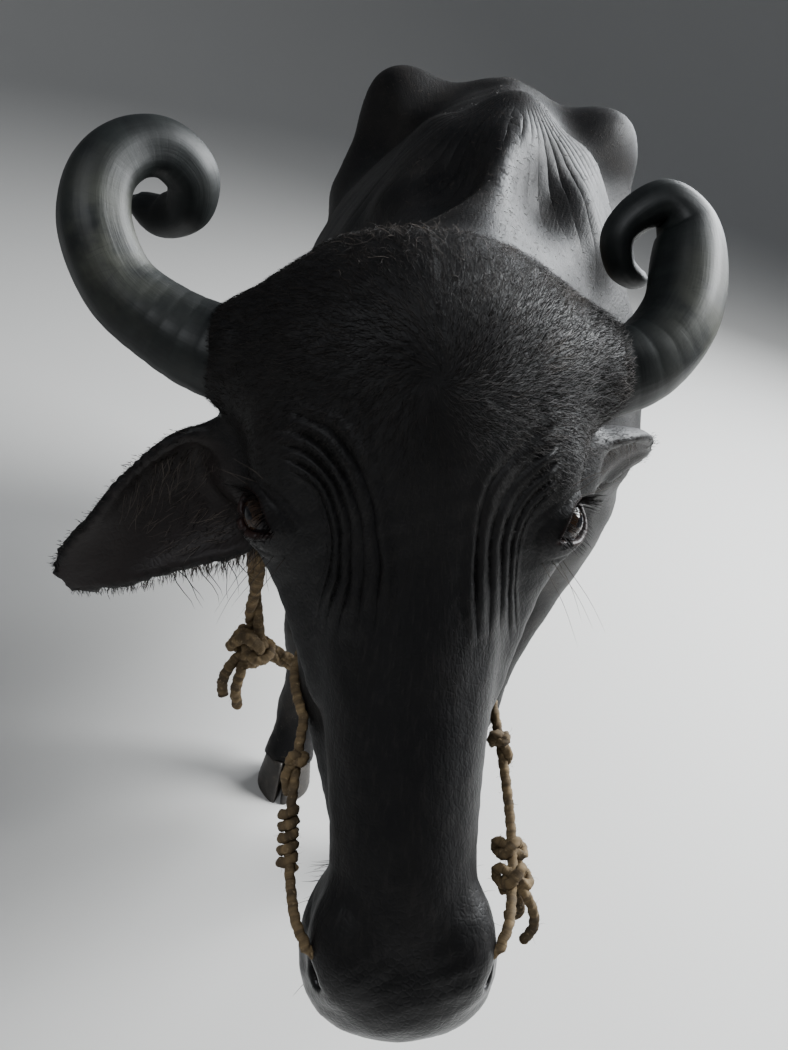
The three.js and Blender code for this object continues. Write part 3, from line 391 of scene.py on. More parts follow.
trunk = form([
    (sections(1, 0, 2, TRUNK, 1.62, 2.2, 70),),
    (sections(1, 0, 2, NECK, 1.9, 1.85, 60), 70),
    (cone([0, -590, 1272], [0, -440, 1327], 20, 15), 40),
    (cone([0, -440, 1326], [0, 400, 1276], 20, 17), 40),
    (cone([0, -450, 1324], [-24, -840, 1246], 16, 18), 40),
    (cone([0, 400, 1276], [0, 800, 1238], 22, 28), 50),
    (ellipsoid([0, -600, 735], [92, 120, 110]), 80),
    (ellipsoid([-60, -1088, 1320], [120, 92, 66]), 50, "cut"),
    *both_sides(trunk_relief),
    (leg(FORELEG, 1, FORE_STEP[1]), 60),
    (leg(FORELEG, -1, FORE_STEP[-1]), 60),
    (hindleg(1), 60),
    (hindleg(-1), 60),
])
udder = form([
    (ellipsoid([0, 560, 668], [104, 158, 112]),),
    (ellipsoid([0, 640, 720], [80, 90, 100]), 50),
    *both_sides(lambda s: [
        (cone([s * 50, 505, 590], [s * 56, 492, 505], 24, 13), 22),
        (cone([s * 44, 610, 590], [s * 48, 612, 512], 24, 13), 22),
    ]),
])

# Head: u, v, w, half width, reach out of the face, reach to the jaw
SKULL = [
    [-178, 0, -80, 76, 62, 66],
    [-145, 0, -80, 108, 92, 92],
    [-90, 0, -85, 120, 117, 110],
    [-40, 0, -85, 116, 114, 115],
    [0, 0, -80, 104, 98, 115],
    [40, 0, -78, 89, 84, 95],
    [85, 0, -75, 73, 75, 80],
    [140, 0, -70, 63, 67, 65],
    [200, 0, -68, 57, 62, 54],
    [255, 0, -66, 55, 57, 46],
    [300, 0, -66, 59, 50, 42],
    [340, 0, -70, 60, 40, 36],
    [374, 0, -76, 46, 24, 26],
]
JAW = [
    [-75, 0, -165, 60, 48, 42],
    [-30, -3, -160, 78, 68, 60],
    [20, -6, -150, 84, 65, 60],
    [80, -6, -140, 78, 50, 50],
    [140, -5, -130, 74, 42, 38],
    [200, -5, -126, 59, 36, 31],
    [255, -2, -124, 50, 30, 30],
    [310, 0, -122, 50, 26, 30],
    [348, 0, -118, 40, 18, 24],
]
MOUTH = [
    [380, 0, -104],
    [371, 28, -106],
    [350, 50, -110],
    [312, 62, -114],
    [262, 64, -114],
    [222, 62, -106],
]


def head_relief(s):
    return [
        (ellipsoid([0, s * 87, -52], [40, 30, 32]), 26),
        (ellipsoid([-38, s * 88, -24], [30, 26, 24]), 26),
        (ellipsoid([5, s * 58, -128], [86, 34, 76]), 36),
        (cone([25, s * 84, -62], [125, s * 58, -84], 18, 13), 26),
        (cone([-98, s * 80, -55], [-104, s * 118, -62], 50, 42), 34),
        (cone([-45, s * 85, -105], [-32, s * 116, -110], 40, 34), 30),
        (ellipsoid([320, s * 38, -92], [54, 36, 36]), 24),
        (ellipsoid([306, s * 40, -46], [40, 27, 26]), 18),
    ]


head_form = form([
    (sections(0, 1, 2, SKULL, 2.15, 2.2, 28),),
    (sections(0, 1, 2, JAW, 2.2, 2.2, 22), 26),
    (ellipsoid([-112, 0, -62], [82, 112, 92]), 40),
    (ellipsoid([338, 0, -74], [44, 60, 46]), 24),
    (ellipsoid([310, 0, -138], [40, 46, 28]), 22),
    *both_sides(head_relief),
])

# Ears: place on the middle line, half width, depth of the cup, thickness of its wall
EARS = {
    -1: [
        [-40, -92, -108, 32, 30, 28],
        [-26, -118, -110, 46, 34, 24],
        [-12, -146, -114, 55, 34, 9],
        [6, -180, -120, 49, 28, 7],
        [29, -212, -128, 37, 20, 6],
        [46, -240, -138, 27, 12, 5],
        [62, -266, -152, 12, 5, 3.5],
    ],
    1: [
        [-46, 92, -112, 30, 30, 28],
        [-44, 118, -124, 38, 34, 24],
        [-44, 140, -146, 48, 34, 9],
        [-45, 161, -173, 50, 28, 7],
        [-46, 181, -202, 42, 20, 6],
        [-46, 199, -230, 28, 12, 5],
        [-45, 214, -254, 11, 5, 3.5],
    ],
}
CUP_OPENS = {-1: np.array([0.35, 0.1, 0.93]), 1: np.array([0.82, 0.5, 0.25])}  # which way
CUP_SHIFT = 0.4  # of its depth, from the middle line to the middle of the cup
THIN_EAR = 10.5  # least thickness of an ear's wall
RIM_STEPS = 60  # places along an ear where its hair may grow


def on_ear(q, v, least):
    """Which points lie on an ear; v is their distance to the side and least its lower limit."""
    return (v > least) & (q[:, 2] < EAR_FRONT) & (q[:, 2] > NECK_JOIN)


def ear_frames(side, count=36):
    rows, opening = EARS[side], CUP_OPENS[side]
    table = eased([[i / (len(rows) - 1), *row] for i, row in enumerate(rows)])
    t = np.linspace(0, 1, count)
    read = np.stack([np.interp(t, table[:, 0], table[:, i]) for i in range(1, 7)], 1)
    at, half, depth, wall = read[:, :3], read[:, 3], read[:, 4], read[:, 5]
    along = unit(np.gradient(at, axis=0))
    opened = unit(opening - along * (along @ opening)[:, None])
    across = np.cross(along, opened)
    return at, along, across, opened, half, depth, np.maximum(wall, THIN_EAR)


def ear_place(side, q):
    """Place along, across and out of the ear, for points in the head's frame."""
    at, along, across, opened, half, depth, wall = ear_frames(side)
    gap = np.linalg.norm(q[:, None] - at[None], axis=2)
    i = gap.argmin(1)
    step = np.linalg.norm(np.diff(at, axis=0), axis=1).mean()
    off = np.einsum("ij,ij->i", q - at[i], along[i])
    t = np.clip(i + off / step, 0, len(at) - 1)
    j = np.minimum(t.astype(int), len(at) - 2)
    f = t - j

    def read(rows):
        weight = f[:, None] if rows.ndim == 2 else f
        return rows[j] * (1 - weight) + rows[j + 1] * weight

    rel = q - read(at)
    a = np.einsum("ij,ij->i", rel, read(across))
    b = np.einsum("ij,ij->i", rel, read(opened))
    beyond = np.abs(np.einsum("ij,ij->i", rel, read(along)))
    return t / (len(at) - 1), a, b, beyond, read(half), read(depth), read(wall)


def ear_field(side):
    def field(q):
        _, a, b, beyond, half, depth, wall = ear_place(side, q)
        wide = np.maximum(half - wall / 2, 2)
        deep = np.maximum(depth - wall / 2, 2)
        y = b - CUP_SHIFT * depth
        k0 = np.hypot(a / wide, y / deep)
        k1 = np.hypot(a / wide**2, y / deep**2) + 1e-9
        shell = np.abs(k0 * (k0 - 1) / k1) - wall / 2
        cup = smooth_max(shell, y, 4)
        return np.hypot(np.maximum(cup, 0), beyond) + np.minimum(cup, 0)

    rows = np.array(EARS[side])[:, :3]
    return boxed(field, rows.min(0) - 85, rows.max(0) + 85)


def eye_axes(s):
    out = unit([-0.02, s * 0.8, 0.6])
    long = unit(np.cross(np.cross(out, [0.62, -s * 0.42, 0.56]), out))
    return np.array([long, np.cross(out, long), out])


def eye_place(s, q):
    return (q - on_side(EYE_AT, s)) @ eye_axes(s).T


def lid_height(x, upper):
    reach = 1 - np.clip(np.abs(x) / (OPENING[0] / 2), 0, 1) ** 2
    return OPENING[1] * np.where(upper, 0.49, 0.45) * reach


def opening_field(e):
    """How far outside the gap between the lids, in the eye's own frame."""
    x, y = e[:, 0], e[:, 1]
    slope = 4 * OPENING[1] * 0.48 * np.abs(x) / OPENING[0] ** 2 * 2
    d = (np.abs(y) - lid_height(x, y > 0)) / np.sqrt(1 + np.minimum(slope, 1.4) ** 2)
    return np.where(np.abs(x) > OPENING[0] / 2, np.hypot(np.abs(x) - OPENING[0] / 2, y), d)


def lid_margin(s):
    """The closed line of the lids' edges, on a ball a little larger than the eye."""
    x = np.linspace(-1, 1, 15) * OPENING[0] / 2
    upper = np.stack([x, lid_height(x, True)], 1)
    lower = np.stack([x[::-1], -lid_height(x[::-1], False)], 1)
    flat = np.vstack([upper, lower[1:]])
    ball = EYE_RADIUS + 1.6
    depth = np.sqrt(np.maximum(ball**2 - (flat**2).sum(1), 1))
    line = np.column_stack([flat, depth])
    return line @ eye_axes(s) + on_side(EYE_AT, s)


def nostril(s):
    slant = unit([0.8, s * 0.55, 0.2])
    across = unit(np.cross(slant, [0.3, 0, 1]))
    axes = np.array([slant, across, np.cross(slant, across)])
    hole = ellipsoid([0, 0, 0], [27, 14, 10.5])
    return lambda q: hole((q - on_side(NOSTRIL_AT, s)) @ axes.T)


def slope_of(field, p, h=0.7):
    d = field(p)
    steps = [(field(p + h * axis) - d) / h for axis in np.eye(3)]
    return d, np.stack(steps, 1)


def settle(field, p, rounds=3, limit=8.0):
    p = p.copy()
    for _ in range(rounds):
        d, g = slope_of(field, p)
        far = np.clip(d / ((g * g).sum(1) + 1e-2), -limit, limit)
        p -= g * far[:, None]
    return p


def mouth_path():
    half = np.array(MOUTH, float)
    mirrored = half[:0:-1] * [1, -1, 1]
    path = spline(np.vstack([mirrored, half]), 48)
    near = settle(head_form, path, 4)
    near[:, 2] = path[:, 2]
    return near


def length_to(points):
    """How long a path is up to each of its points."""
    return np.concatenate([[0], np.cumsum(np.linalg.norm(np.diff(points, axis=0), axis=1))])


def spline(points, count, closed=False):
    """Evenly spaced points on a centripetal Catmull-Rom curve; extra columns ride along."""
    points = np.asarray(points, float)
    if closed:
        points = np.vstack([points[-2:], points, points[:3]])
    gaps = np.sqrt(np.maximum(np.linalg.norm(np.diff(points[:, :3], axis=0), axis=1), 1e-6))
    t = np.concatenate([[0], np.cumsum(gaps)])
    table = eased(np.column_stack([t, points]), 14)
    if closed:
        table = table[(table[:, 0] >= t[2]) & (table[:, 0] <= t[-3] + 1e-9)]
        table = np.vstack([table[table[:, 0] < t[-3] - 1e-9], table[:1]])
    run = length_to(table[:, 1:4])
    at = np.linspace(0, run[-1], count + 1 if closed else count)
    at = at[:-1] if closed else at
    return np.stack([np.interp(at, run, table[:, i]) for i in range(1, table.shape[1])], 1)


tail_tube = boxed(tube(spline(TAIL, 40)[:, :3], spline(TAIL, 40)[:, 3]),
                  [-80, 690, 480], [80, 980, 1330])
HEAD_REACH = np.array([[-430, -370, -420], [470, 350, 130]], float)
mouth_cut = boxed(tube(mouth_path(), 2.6), [190, -90, -150], [410, 90, -70])
ears = {s: ear_field(s) for s in (1, -1)}


def skin_field(p):
    """The whole hide: flesh drawn in by the coat's depth, ears, lids, nostrils and mouth."""
    q = to_head(p)
    d = trunk(p)
    d = smooth_min(d, tail_tube(p), 22)
    low = np.all((p > [-200, 330, 430]) & (p < [200, 830, 860]), axis=1)
    if low.any():
        d[low] = smooth_min(d[low], udder(p[low]), 34)
    near = np.all((q > HEAD_REACH[0]) & (q < HEAD_REACH[1]), axis=1)
    if near.any():
        d[near] = smooth_min(d[near], head_form(q[near]), 40)
    d = d + COAT_DEPTH
    if near.any():
        d[near] = head_details(q[near], d[near])
    feet = p[:, 2] < 170
    if feet.any():
        d[feet] = coronets(p[feet], d[feet])
    return d


def head_skin(q):
    return skin_field(from_head(q))


def head_details(q, d):
    for s in (1, -1):
        d = smooth_min(d, ears[s](q), 18)
        close = np.linalg.norm(q - on_side(EYE_AT, s), axis=1) < 62
        if close.any():
            e = eye_place(s, q[close])
            part = smooth_min(d[close], np.linalg.norm(e, axis=1) - EYE_RADIUS - 4.4, 9)
            gap = smooth_max(opening_field(e), 5 - e[:, 2], 2)
            part = smooth_max(part, -gap, 3)
            rim = tube(lid_margin(s), 2.1)(q[close])
            d[close] = smooth_min(part, rim, 2.5)
        nose = q[:, 0] > 250
        if nose.any():
            d[nose] = smooth_max(d[nose], -nostril(s)(q[nose]), 7)
    return smooth_max(d, -mouth_cut(q), 5)


def coronets(p, d):
    for x, y, *_ in FEET.values():
        near = (np.abs(p[:, 0] - x) < 120) & (np.abs(p[:, 1] - y) < 140)
        edge = CORONET_HEIGHT - 4 - (p[near, 1] - y) * CORONET_SLOPE - p[near, 2]
        d[near] = smooth_max(d[near], edge, 7)
    return d


# Nets: a surface through a grid, whose cells far from it are never computed
CORNERS = [(i, j, k) for i in (0, 1) for j in (0, 1) for k in (0, 1)]


def to_cells(values):
    """One value for each cell from one for each block."""
    return values.repeat(BLOCK, 0).repeat(BLOCK, 1).repeat(BLOCK, 2)


def sampled(field, low, high, cell):
    low, high = np.array(low, float), np.array(high, float)
    blocks = np.ceil((high - low) / cell / BLOCK).astype(int)
    count = blocks * BLOCK + 1
    index = np.stack(np.meshgrid(*[np.arange(b) for b in blocks], indexing="ij"), -1)
    centres = low + (index.reshape(-1, 3) + 0.5) * BLOCK * cell
    middle = field(centres).reshape(blocks)
    near = np.abs(middle) < BLOCK * cell * 1.3
    values = np.empty(count)
    values[:-1, :-1, :-1] = to_cells(middle)
    values[-1], values[:, -1], values[:, :, -1] = values[-2], values[:, -2], values[:, :, -2]
    wanted = np.zeros(count, bool)
    wide = to_cells(near)
    for i, j, k in CORNERS:
        wanted[i:count[0] - 1 + i, j:count[1] - 1 + j, k:count[2] - 1 + k] |= wide
    at = np.argwhere(wanted)
    parts = np.array_split(low + at * cell, max(1, len(at) // 150000))
    values[wanted] = np.concatenate([field(part) for part in parts])
    return values


def net(values, low, cell):
    """Vertices and four-sided faces of the surface where the samples change sign."""
    inside = values < 0
    size = np.array(values.shape) - 1
    corner = [inside[i:size[0] + i, j:size[1] + j, k:size[2] + k] for i, j, k in CORNERS]
    total = sum(c.astype(np.int8) for c in corner)
    cells = np.argwhere((total > 0) & (total < 8))
    ids = np.full(size, -1)
    ids[tuple(cells.T)] = np.arange(len(cells))
    sums, hits = np.zeros((len(cells), 3)), np.zeros(len(cells))
    for corner_at in CORNERS:
        for axis in range(3):
            if corner_at[axis] == 1:
                continue
            start, end = np.array(corner_at), np.array(corner_at)
            end[axis] = 1
            a = values[tuple((cells + start).T)]
            b = values[tuple((cells + end).T)]
            crossed = (a < 0) != (b < 0)
            at = np.tile(start.astype(float), (len(cells), 1))
            at[:, axis] += np.where(crossed, a / (a - b + 1e-12), 0)
            sums[crossed] += at[crossed]
            hits[crossed] += 1
    vertices = (cells + sums / hits[:, None]) * cell + np.array(low)
    faces = []
    for axis in range(3):
        second, third = [i for i in range(3) if i != axis]
        first, last = [slice(None)] * 3, [slice(None)] * 3
        first[axis], last[axis] = slice(0, -1), slice(1, None)
        for other in (second, third):
            first[other] = last[other] = slice(1, -1)
        a, b = inside[tuple(first)], inside[tuple(last)]
        for flip, mask in ((False, a & ~b), (True, ~a & b)):
            edge = np.argwhere(mask)
            edge[:, second] += 1
            edge[:, third] += 1
            back2, back3 = np.eye(3, dtype=int)[second], np.eye(3, dtype=int)[third]
            around = (back2 + back3, back3, 0 * back2, back2)
            quad = np.stack([ids[tuple((edge - step).T)] for step in around], 1)
            quad = quad[:, ::-1] if axis == 1 else quad
            faces.append(quad[:, ::-1] if flip else quad)
    return vertices, np.concatenate(faces)


def rim_of(faces):
    """The open edge of a net as one ordered loop of vertex numbers."""
    edges = np.vstack([faces[:, [i, (i + 1) % 4]] for i in range(4)])
    key = np.sort(edges, 1)
    _, inverse, count = np.unique(key, axis=0, return_inverse=True, return_counts=True)
    follow = {a: b for a, b in edges[count[inverse.ravel()] == 1].tolist()}
    start = next(iter(follow))
    loop = [start]
    while follow[loop[-1]] != start:
        loop.append(follow[loop[-1]])
    if len(loop) != len(follow):
        raise ValueError("the net's open edge isn't one loop")
    return np.array(loop)


def zipped(rim_a, rim_b, q):
    """A strip of triangles between two loops round the neck, stepped by their angles."""
    centre = q[rim_a].mean(0)
    loops = []
    for rim in (rim_a, rim_b):
        angle = np.arctan2(q[rim, 1] - centre[1], q[rim, 0] - centre[0])
        turn = np.unwrap(angle)
        if turn[-1] < turn[0]:
            rim, angle = rim[::-1], angle[::-1]
        first = angle.argmin()
        rim, angle = np.roll(rim, -first), np.roll(angle, -first)
        loops.append((np.append(rim, rim[0]), np.append(angle, angle[0] + 2 * math.pi)))
    (ra, ta), (rb, tb) = loops
    i = j = 0
    strip = []
    while i < len(ra) - 1 or j < len(rb) - 1:
        if j == len(rb) - 1 or (i < len(ra) - 1 and ta[i + 1] <= tb[j + 1]):
            strip.append([ra[i], ra[i + 1], rb[j]])
            i += 1
        else:
            strip.append([ra[i], rb[j + 1], rb[j]])
            j += 1
    return strip


def skin_net():
    """Head and body nets in the head's frame, zipped together round the neck."""
    low = np.array([-330, -292, NECK_JOIN])
    values = sampled(head_skin, low, [400, 268, 60], HEAD_CELL)
    head_points, head_faces = net(values, low, HEAD_CELL)
    depth = BLOCK * BODY_CELL * math.ceil(2130 / (BLOCK * BODY_CELL))
    low = np.array([-1130, -390, NECK_JOIN - depth])
    values = sampled(head_skin, low, [730, 730, NECK_JOIN], BODY_CELL)
    body_points, body_faces = net(values, low, BODY_CELL)
    points = np.vstack([head_points, body_points])
    body_faces = body_faces + len(head_points)
    strip = zipped(rim_of(head_faces), rim_of(body_faces), points)
    return points, np.vstack([head_faces, body_faces]), np.array(strip)


def relaxed(points, edges, rounds):
    """Points drawn halfway to the mean of their neighbours, round by round."""
    for _ in range(rounds):
        total, count = np.zeros_like(points), np.zeros(len(points))
        for a, b in ((0, 1), (1, 0)):
            np.add.at(total, edges[:, a], points[edges[:, b]])
            np.add.at(count, edges[:, a], 1)
        points = points + 0.5 * (total / count[:, None] - points)
    return points


# Meshes
def placed(name, data):
    """An object for the data, linked into the scene."""
    made = bpy.data.objects.new(name, data)
    bpy.context.collection.objects.link(made)
    return made


def smoothed(mesh):
    mesh.polygons.foreach_set("use_smooth", np.ones(len(mesh.polygons), bool))


def mesh_object(name, points, faces):
    """points in the model's frame; faces a list of arrays, each with its own number of corners."""
    mesh = bpy.data.meshes.new(name)
    faces = [np.asarray(f, np.int32) for f in faces if len(f)]
    sizes = np.concatenate([np.full(len(f), f.shape[1], np.int32) for f in faces])
    mesh.vertices.add(len(points))
    set_places(mesh, points)
    mesh.loops.add(int(sizes.sum()))
    mesh.loops.foreach_set("vertex_index", np.concatenate([f.ravel() for f in faces]))
    mesh.polygons.add(len(sizes))
    starts = np.concatenate([[0], np.cumsum(sizes)[:-1]]).astype(np.int32)
    mesh.polygons.foreach_set("loop_start", starts)
    mesh.update(calc_edges=True)
    mesh.validate()
    smoothed(mesh)
    return placed(name, mesh)


def set_places(mesh, points):
    mesh.vertices.foreach_set("co", world(points).astype(np.float32).ravel())


def faced_out(piece):
    """Turns every face of a closed piece outwards."""
    bm = bmesh.new()
    bm.from_mesh(piece.data)
    bmesh.ops.recalc_face_normals(bm, faces=bm.faces)
    bm.to_mesh(piece.data)
    bm.free()
    return piece


def points_of(mesh):
    co = np.empty(len(mesh.vertices) * 3, np.float32)
    mesh.vertices.foreach_get("co", co)
    return co.reshape(-1, 3) * 1000.0 + SHIFT


def edges_of(mesh):
    ends = np.empty(len(mesh.edges) * 2, np.int32)
    mesh.edges.foreach_get("vertices", ends)
    return ends.reshape(-1, 2)


def set_number(mesh, name, values):
    made = mesh.attributes.new(name, "FLOAT", "POINT")
    made.data.foreach_set("value", np.asarray(values, np.float32))


def set_vector(mesh, name, values):
    made = mesh.attributes.new(name, "FLOAT_VECTOR", "POINT")
    made.data.foreach_set("vector", np.asarray(values, np.float32).ravel())


def finished(piece, slot, material, *replaced):
    """Gives a piece its material, hangs it under the root and hides the solids that it stands for; slot
    is not used.
    """
    piece.data.materials.clear()
    piece.data.materials.append(material)
    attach(piece, "root")
    if replaced:
        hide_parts(*replaced)
    return piece


# Skin
FOLDS = (28.0, 95.0)  # middle of the rings of folds beside each eye
LEFT_FOLDS_OUT = 12.0  # how much further out that middle lies on the left
WITHERS_AT = -440.0  # where the creases of the withers spread from
DARK_EDGE = 3.5  # how far the dark edge of the lids reaches


def fold_ring(q, s):
    """How far a place lies from the middle of the folds, on arcs that run on down the nose."""
    u = q[:, 0] - FOLDS[0]
    v = s * q[:, 1] - FOLDS[1] - (LEFT_FOLDS_OUT if s > 0 else 0)
    return np.hypot(np.where(u > 0, 0.4, 0.78) * u, v)


def fine_zone(p):
    """Where the skin's net is halved once, and where it is halved again."""
    q = to_head(p)
    once = (p[:, 2] < 200) | ((p[:, 1] > 840) & (p[:, 2] < 1200)) | (
        (p[:, 2] < 640) & (np.abs(p[:, 0]) < 95) & (p[:, 1] > 440) & (p[:, 1] < 700))
    twice = np.zeros(len(p), bool)
    for s in (1, -1):
        v = s * q[:, 1]
        ring = fold_ring(q, s)
        once |= (ring > 33) & (ring < 84) & (v < 96) & (q[:, 2] > -62) & (np.abs(q[:, 0] - 4) < 88)
        eye = np.linalg.norm(q - on_side(EYE_AT, s), axis=1)
        once |= eye < 58
        twice |= eye < 33
        once |= np.linalg.norm(q - on_side(NOSTRIL_AT, s), axis=1) < 44
    once |= (np.abs(mouth_cut(q)) < 9) & (q[:, 0] > 215)
    return once, twice


def refined(mesh, choose):
    bm = bmesh.new()
    bm.from_mesh(mesh)
    bm.faces.ensure_lookup_table()
    centres = np.array([f.calc_center_median() for f in bm.faces]) * 1000 + SHIFT
    picked = np.flatnonzero(choose(centres))
    edges = {e for i in picked for e in bm.faces[i].edges}
    bmesh.ops.subdivide_edges(bm, edges=list(edges), cuts=1, use_grid_fill=True)
    many = [f for f in bm.faces if len(f.verts) > 4]
    bmesh.ops.triangulate(bm, faces=many)
    bm.to_mesh(mesh)
    bm.free()


def fold_marks(q):
    """At each place of the brow, the count of folds out from the eye and how deep they are."""
    beat, depth = np.zeros(len(q)), np.zeros(len(q))
    for s in (1, -1):
        v = s * q[:, 1]
        ring = fold_ring(q, s) + 3.2 * wobble(q, 110, 3 + s) + 1.0 * wobble(q, 40, 6 + s)
        band = smooth_step(ring, 34, 40) * (1 - smooth_step(ring, 68, 82))
        span = smooth_step(q[:, 0], -92, -28) * (1 - smooth_step(q[:, 0], 46, 96))
        side = smooth_step(98 - v, 2, 16) * smooth_step(q[:, 2], -80, -48)
        uneven = np.clip(0.85 + 0.45 * wobble(q, 60, 8 + s), 0.25, 1.3)
        beat = np.where(v > 0, 5.6 * np.log(np.maximum(ring - 8, 4) / 30), beat)
        depth = np.where(v > 0, band * span * side * uneven, depth)
    return beat, depth


def ridges(beat):
    return np.abs(np.sin(math.pi * beat)) ** 0.6


def withers_marks(p):
    """The same two values for the fine creases that spread from the withers down each side."""
    across, back = np.abs(p[:, 0]), p[:, 1] - WITHERS_AT
    far = np.hypot(across, back)
    angle = np.arctan2(across, back + 0.16 * across)
    beat = 7.5 * angle + 0.3 * wobble(p, 170, 14)
    uneven = np.clip(0.7 + 0.8 * wobble(p, 110, 15), 0, 1)
    return beat, 0.42 * uneven * bell(far, 130, 85) * smooth_step(p[:, 2], 1120, 1200)


def brow_folds(q):
    beat, depth = fold_marks(q)
    return 3.2 * depth * (ridges(beat) - 0.66)


def eye_folds(q):
    out = np.zeros(len(q))
    for s in (1, -1):
        e = eye_place(s, q)
        rho = np.hypot(e[:, 0] / 20, e[:, 1] / 13)
        front = smooth_step(e[:, 2], -4, 8)
        lines = 1.5 * bell(rho, 1.72, 0.12) + 1.1 * bell(rho, 2.2, 0.12)
        out -= front * lines * (0.7 + 0.3 * wobble(q, 30, 12))
    return out


def face_lines(q):
    """The raised veins and the edge of the nose bone on each side."""
    out = np.zeros(len(q))
    for s in (1, -1):
        vein = tube([[96, s * 52, -14], [128, s * 44, -6], [180, s * 41, -6], [238, s * 38, -8],
                     [270, s * 44, -14]], 0.1)(q)
        out += 1.4 * bell(vein, 0, 4.5) - 0.9 * bell(vein, 9, 4)
        crease = tube([[300, s * 66, -70], [280, s * 62, -92], [235, s * 60, -100]], 0.1)(q)
        out -= 1.6 * bell(crease, 0, 4)
    return out


def neck_folds(p, q):
    """Creases behind the head, across the neck and down the chest."""
    y, z = p[:, 1], p[:, 2]
    back = smooth_step(-q[:, 2], 165, 215)
    near_head = back * bell(y, -1060, 85) * (1.7 * np.sin(2 * math.pi * (y + 0.3 * z) / 23))
    middle = bell(y, -880, 130) * np.sin(2 * math.pi * (y + 0.22 * z + 16 * wobble(p, 300, 5)) / 47)
    lower = smooth_step(-z, -1220, -980)
    chest = bell(y, -640, 90) * bell(z, 800, 170)
    chest = chest * np.sin(2 * math.pi * (y + 0.5 * z + 14 * wobble(p, 240, 6)) / 38)
    return near_head + (0.5 + 1.6 * lower) * middle + 1.9 * chest


def body_folds(p):
    """Faint ribs, and creases at the withers, the elbow and the flank."""
    x, y, z = p.T
    side = smooth_step(np.abs(x), 120, 220)
    ribs = smooth_step(y, -330, -180) * (1 - smooth_step(y, 250, 380)) * bell(z, 960, 190)
    ribs = ribs * np.sin(2 * math.pi * (y - 0.22 * z + 26 * wobble(p, 420, 9)) / 82)
    angle = np.arctan2(x, y + 470)
    far = np.hypot(x, y + 470)
    radiating = bell(far, 170, 90) * smooth_step(z, 1150, 1230) * np.sin(9 * angle + wobble(p, 160, 4))
    elbow = bell(y, -300, 60) * bell(z, 760, 120) * np.sin(2 * math.pi * (y + 0.7 * z) / 27)
    flank = bell(y, 455, 70) * bell(z, 840, 130) * np.sin(2 * math.pi * (y - 0.5 * z) / 36)
    return side * 1.3 * ribs + 1.6 * radiating + 1.8 * elbow * side + 2.0 * flank * side


def leg_folds(p):
    z = p[:, 2]
    fetlock = bell(z, 122, 22) * np.sin(2 * math.pi * (z + 0.35 * p[:, 1]) / 9.5)
    joint = bell(z, 420, 46) * np.sin(2 * math.pi * (z + 3 * wobble(p, 60, 2)) / 13)
    tendons = bell(z, 260, 80) * np.sin(p[:, 0] * 0.16)
    return 0.8 * fetlock + 0.8 * joint + 0.4 * tendons


def relief(p):
    q = to_head(p)
    face = smooth_step(q[:, 2], -200, -150) * (np.abs(q[:, 1]) < 150)
    body = smooth_step(-q[:, 2], 150, 260)
    out = face * (brow_folds(q) + eye_folds(q) + face_lines(q) + 0.3 * wobble(q, 14, 1))
    out += neck_folds(p, q) * body * (p[:, 1] < -500)
    out += body * (body_folds(p) + (p[:, 2] < 560) * leg_folds(p))
    return out + body * 1.4 * wobble(p, 120, 7)


def strand_place(p, q):
    """A place in the hair: its second number runs along the lie of the coat."""
    du, dv = q[:, 0] - WHORL[0], q[:, 1] - WHORL[1]
    far = np.hypot(du, dv)
    turn = np.arctan2(dv, du)
    face = np.column_stack([turn * 120, far, 0.6 * q[:, 2]])
    side = np.arctan2(p[:, 0], p[:, 2] - 900) * 240
    trunk_like = np.column_stack([side, p[:, 1], p[:, 2] * 0.1])
    limb = smooth_step(-p[:, 2], -640, -480)[:, None]
    limb_like = np.column_stack([p[:, 0] + p[:, 1], p[:, 2], p[:, 0] - p[:, 1]])
    on_face = smooth_step(q[:, 2], -230, -150)[:, None]
    away = trunk_like * (1 - limb) + limb_like * limb
    return (away * (1 - on_face) + face * on_face) / 1000


def cup_mask(q):
    out = np.zeros(len(q))
    for s in (1, -1):
        near = s * q[:, 1] > 118
        t, a, b, beyond, half, depth, wall = ear_place(s, q[near])
        inside = np.hypot(a / (half - wall / 2), (b - CUP_SHIFT * depth) / (depth - wall / 2)) < 1
        out[near] = np.maximum(out[near], inside * smooth_step(t, 0.12, 0.3) * (beyond < 6))
    return out


def skin_places(mesh):
    """Where the vertices of the refined net lie when the ears are smooth."""
    edges = edges_of(mesh)
    place = relaxed(points_of(mesh), edges, 2)
    q = to_head(place)
    ear = on_ear(q, np.abs(q[:, 1]), 126)
    for _ in range(3):
        smooth = relaxed(place, edges, 3)
        place[ear] = smooth[ear]
        place = settle(skin_field, place, 1)
    return settle(skin_field, place, 2)


def wet_mask(q, face):
    wet = smooth_step(q[:, 0], 292, 326) * smooth_step(q[:, 2], -104, -92)
    wet = np.maximum(wet * (np.abs(q[:, 1]) < 75), smooth_step(q[:, 0], 352, 366)) * face
    return np.clip(wet, 0, 1)


def rim_mask(q, face):
    """The bare edges of lids and nostrils."""
    rim = np.zeros(len(q))
    for s in (1, -1):
        e = eye_place(s, q)
        near = (np.linalg.norm(e, axis=1) < 40) & (e[:, 2] > 0)
        rim = np.maximum(rim, near * (1 - smooth_step(opening_field(e), 0.5, DARK_EDGE)))
        rim = np.maximum(rim, face * (1 - smooth_step(nostril(s)(q), -3, 2)))
    return rim


def udder_mask(p):
    low = (p[:, 2] < 640) & (p[:, 1] > 400) & (p[:, 1] < 720)
    return low * (np.abs(p[:, 0]) < 110) * smooth_step(-udder(p), -14, 0)


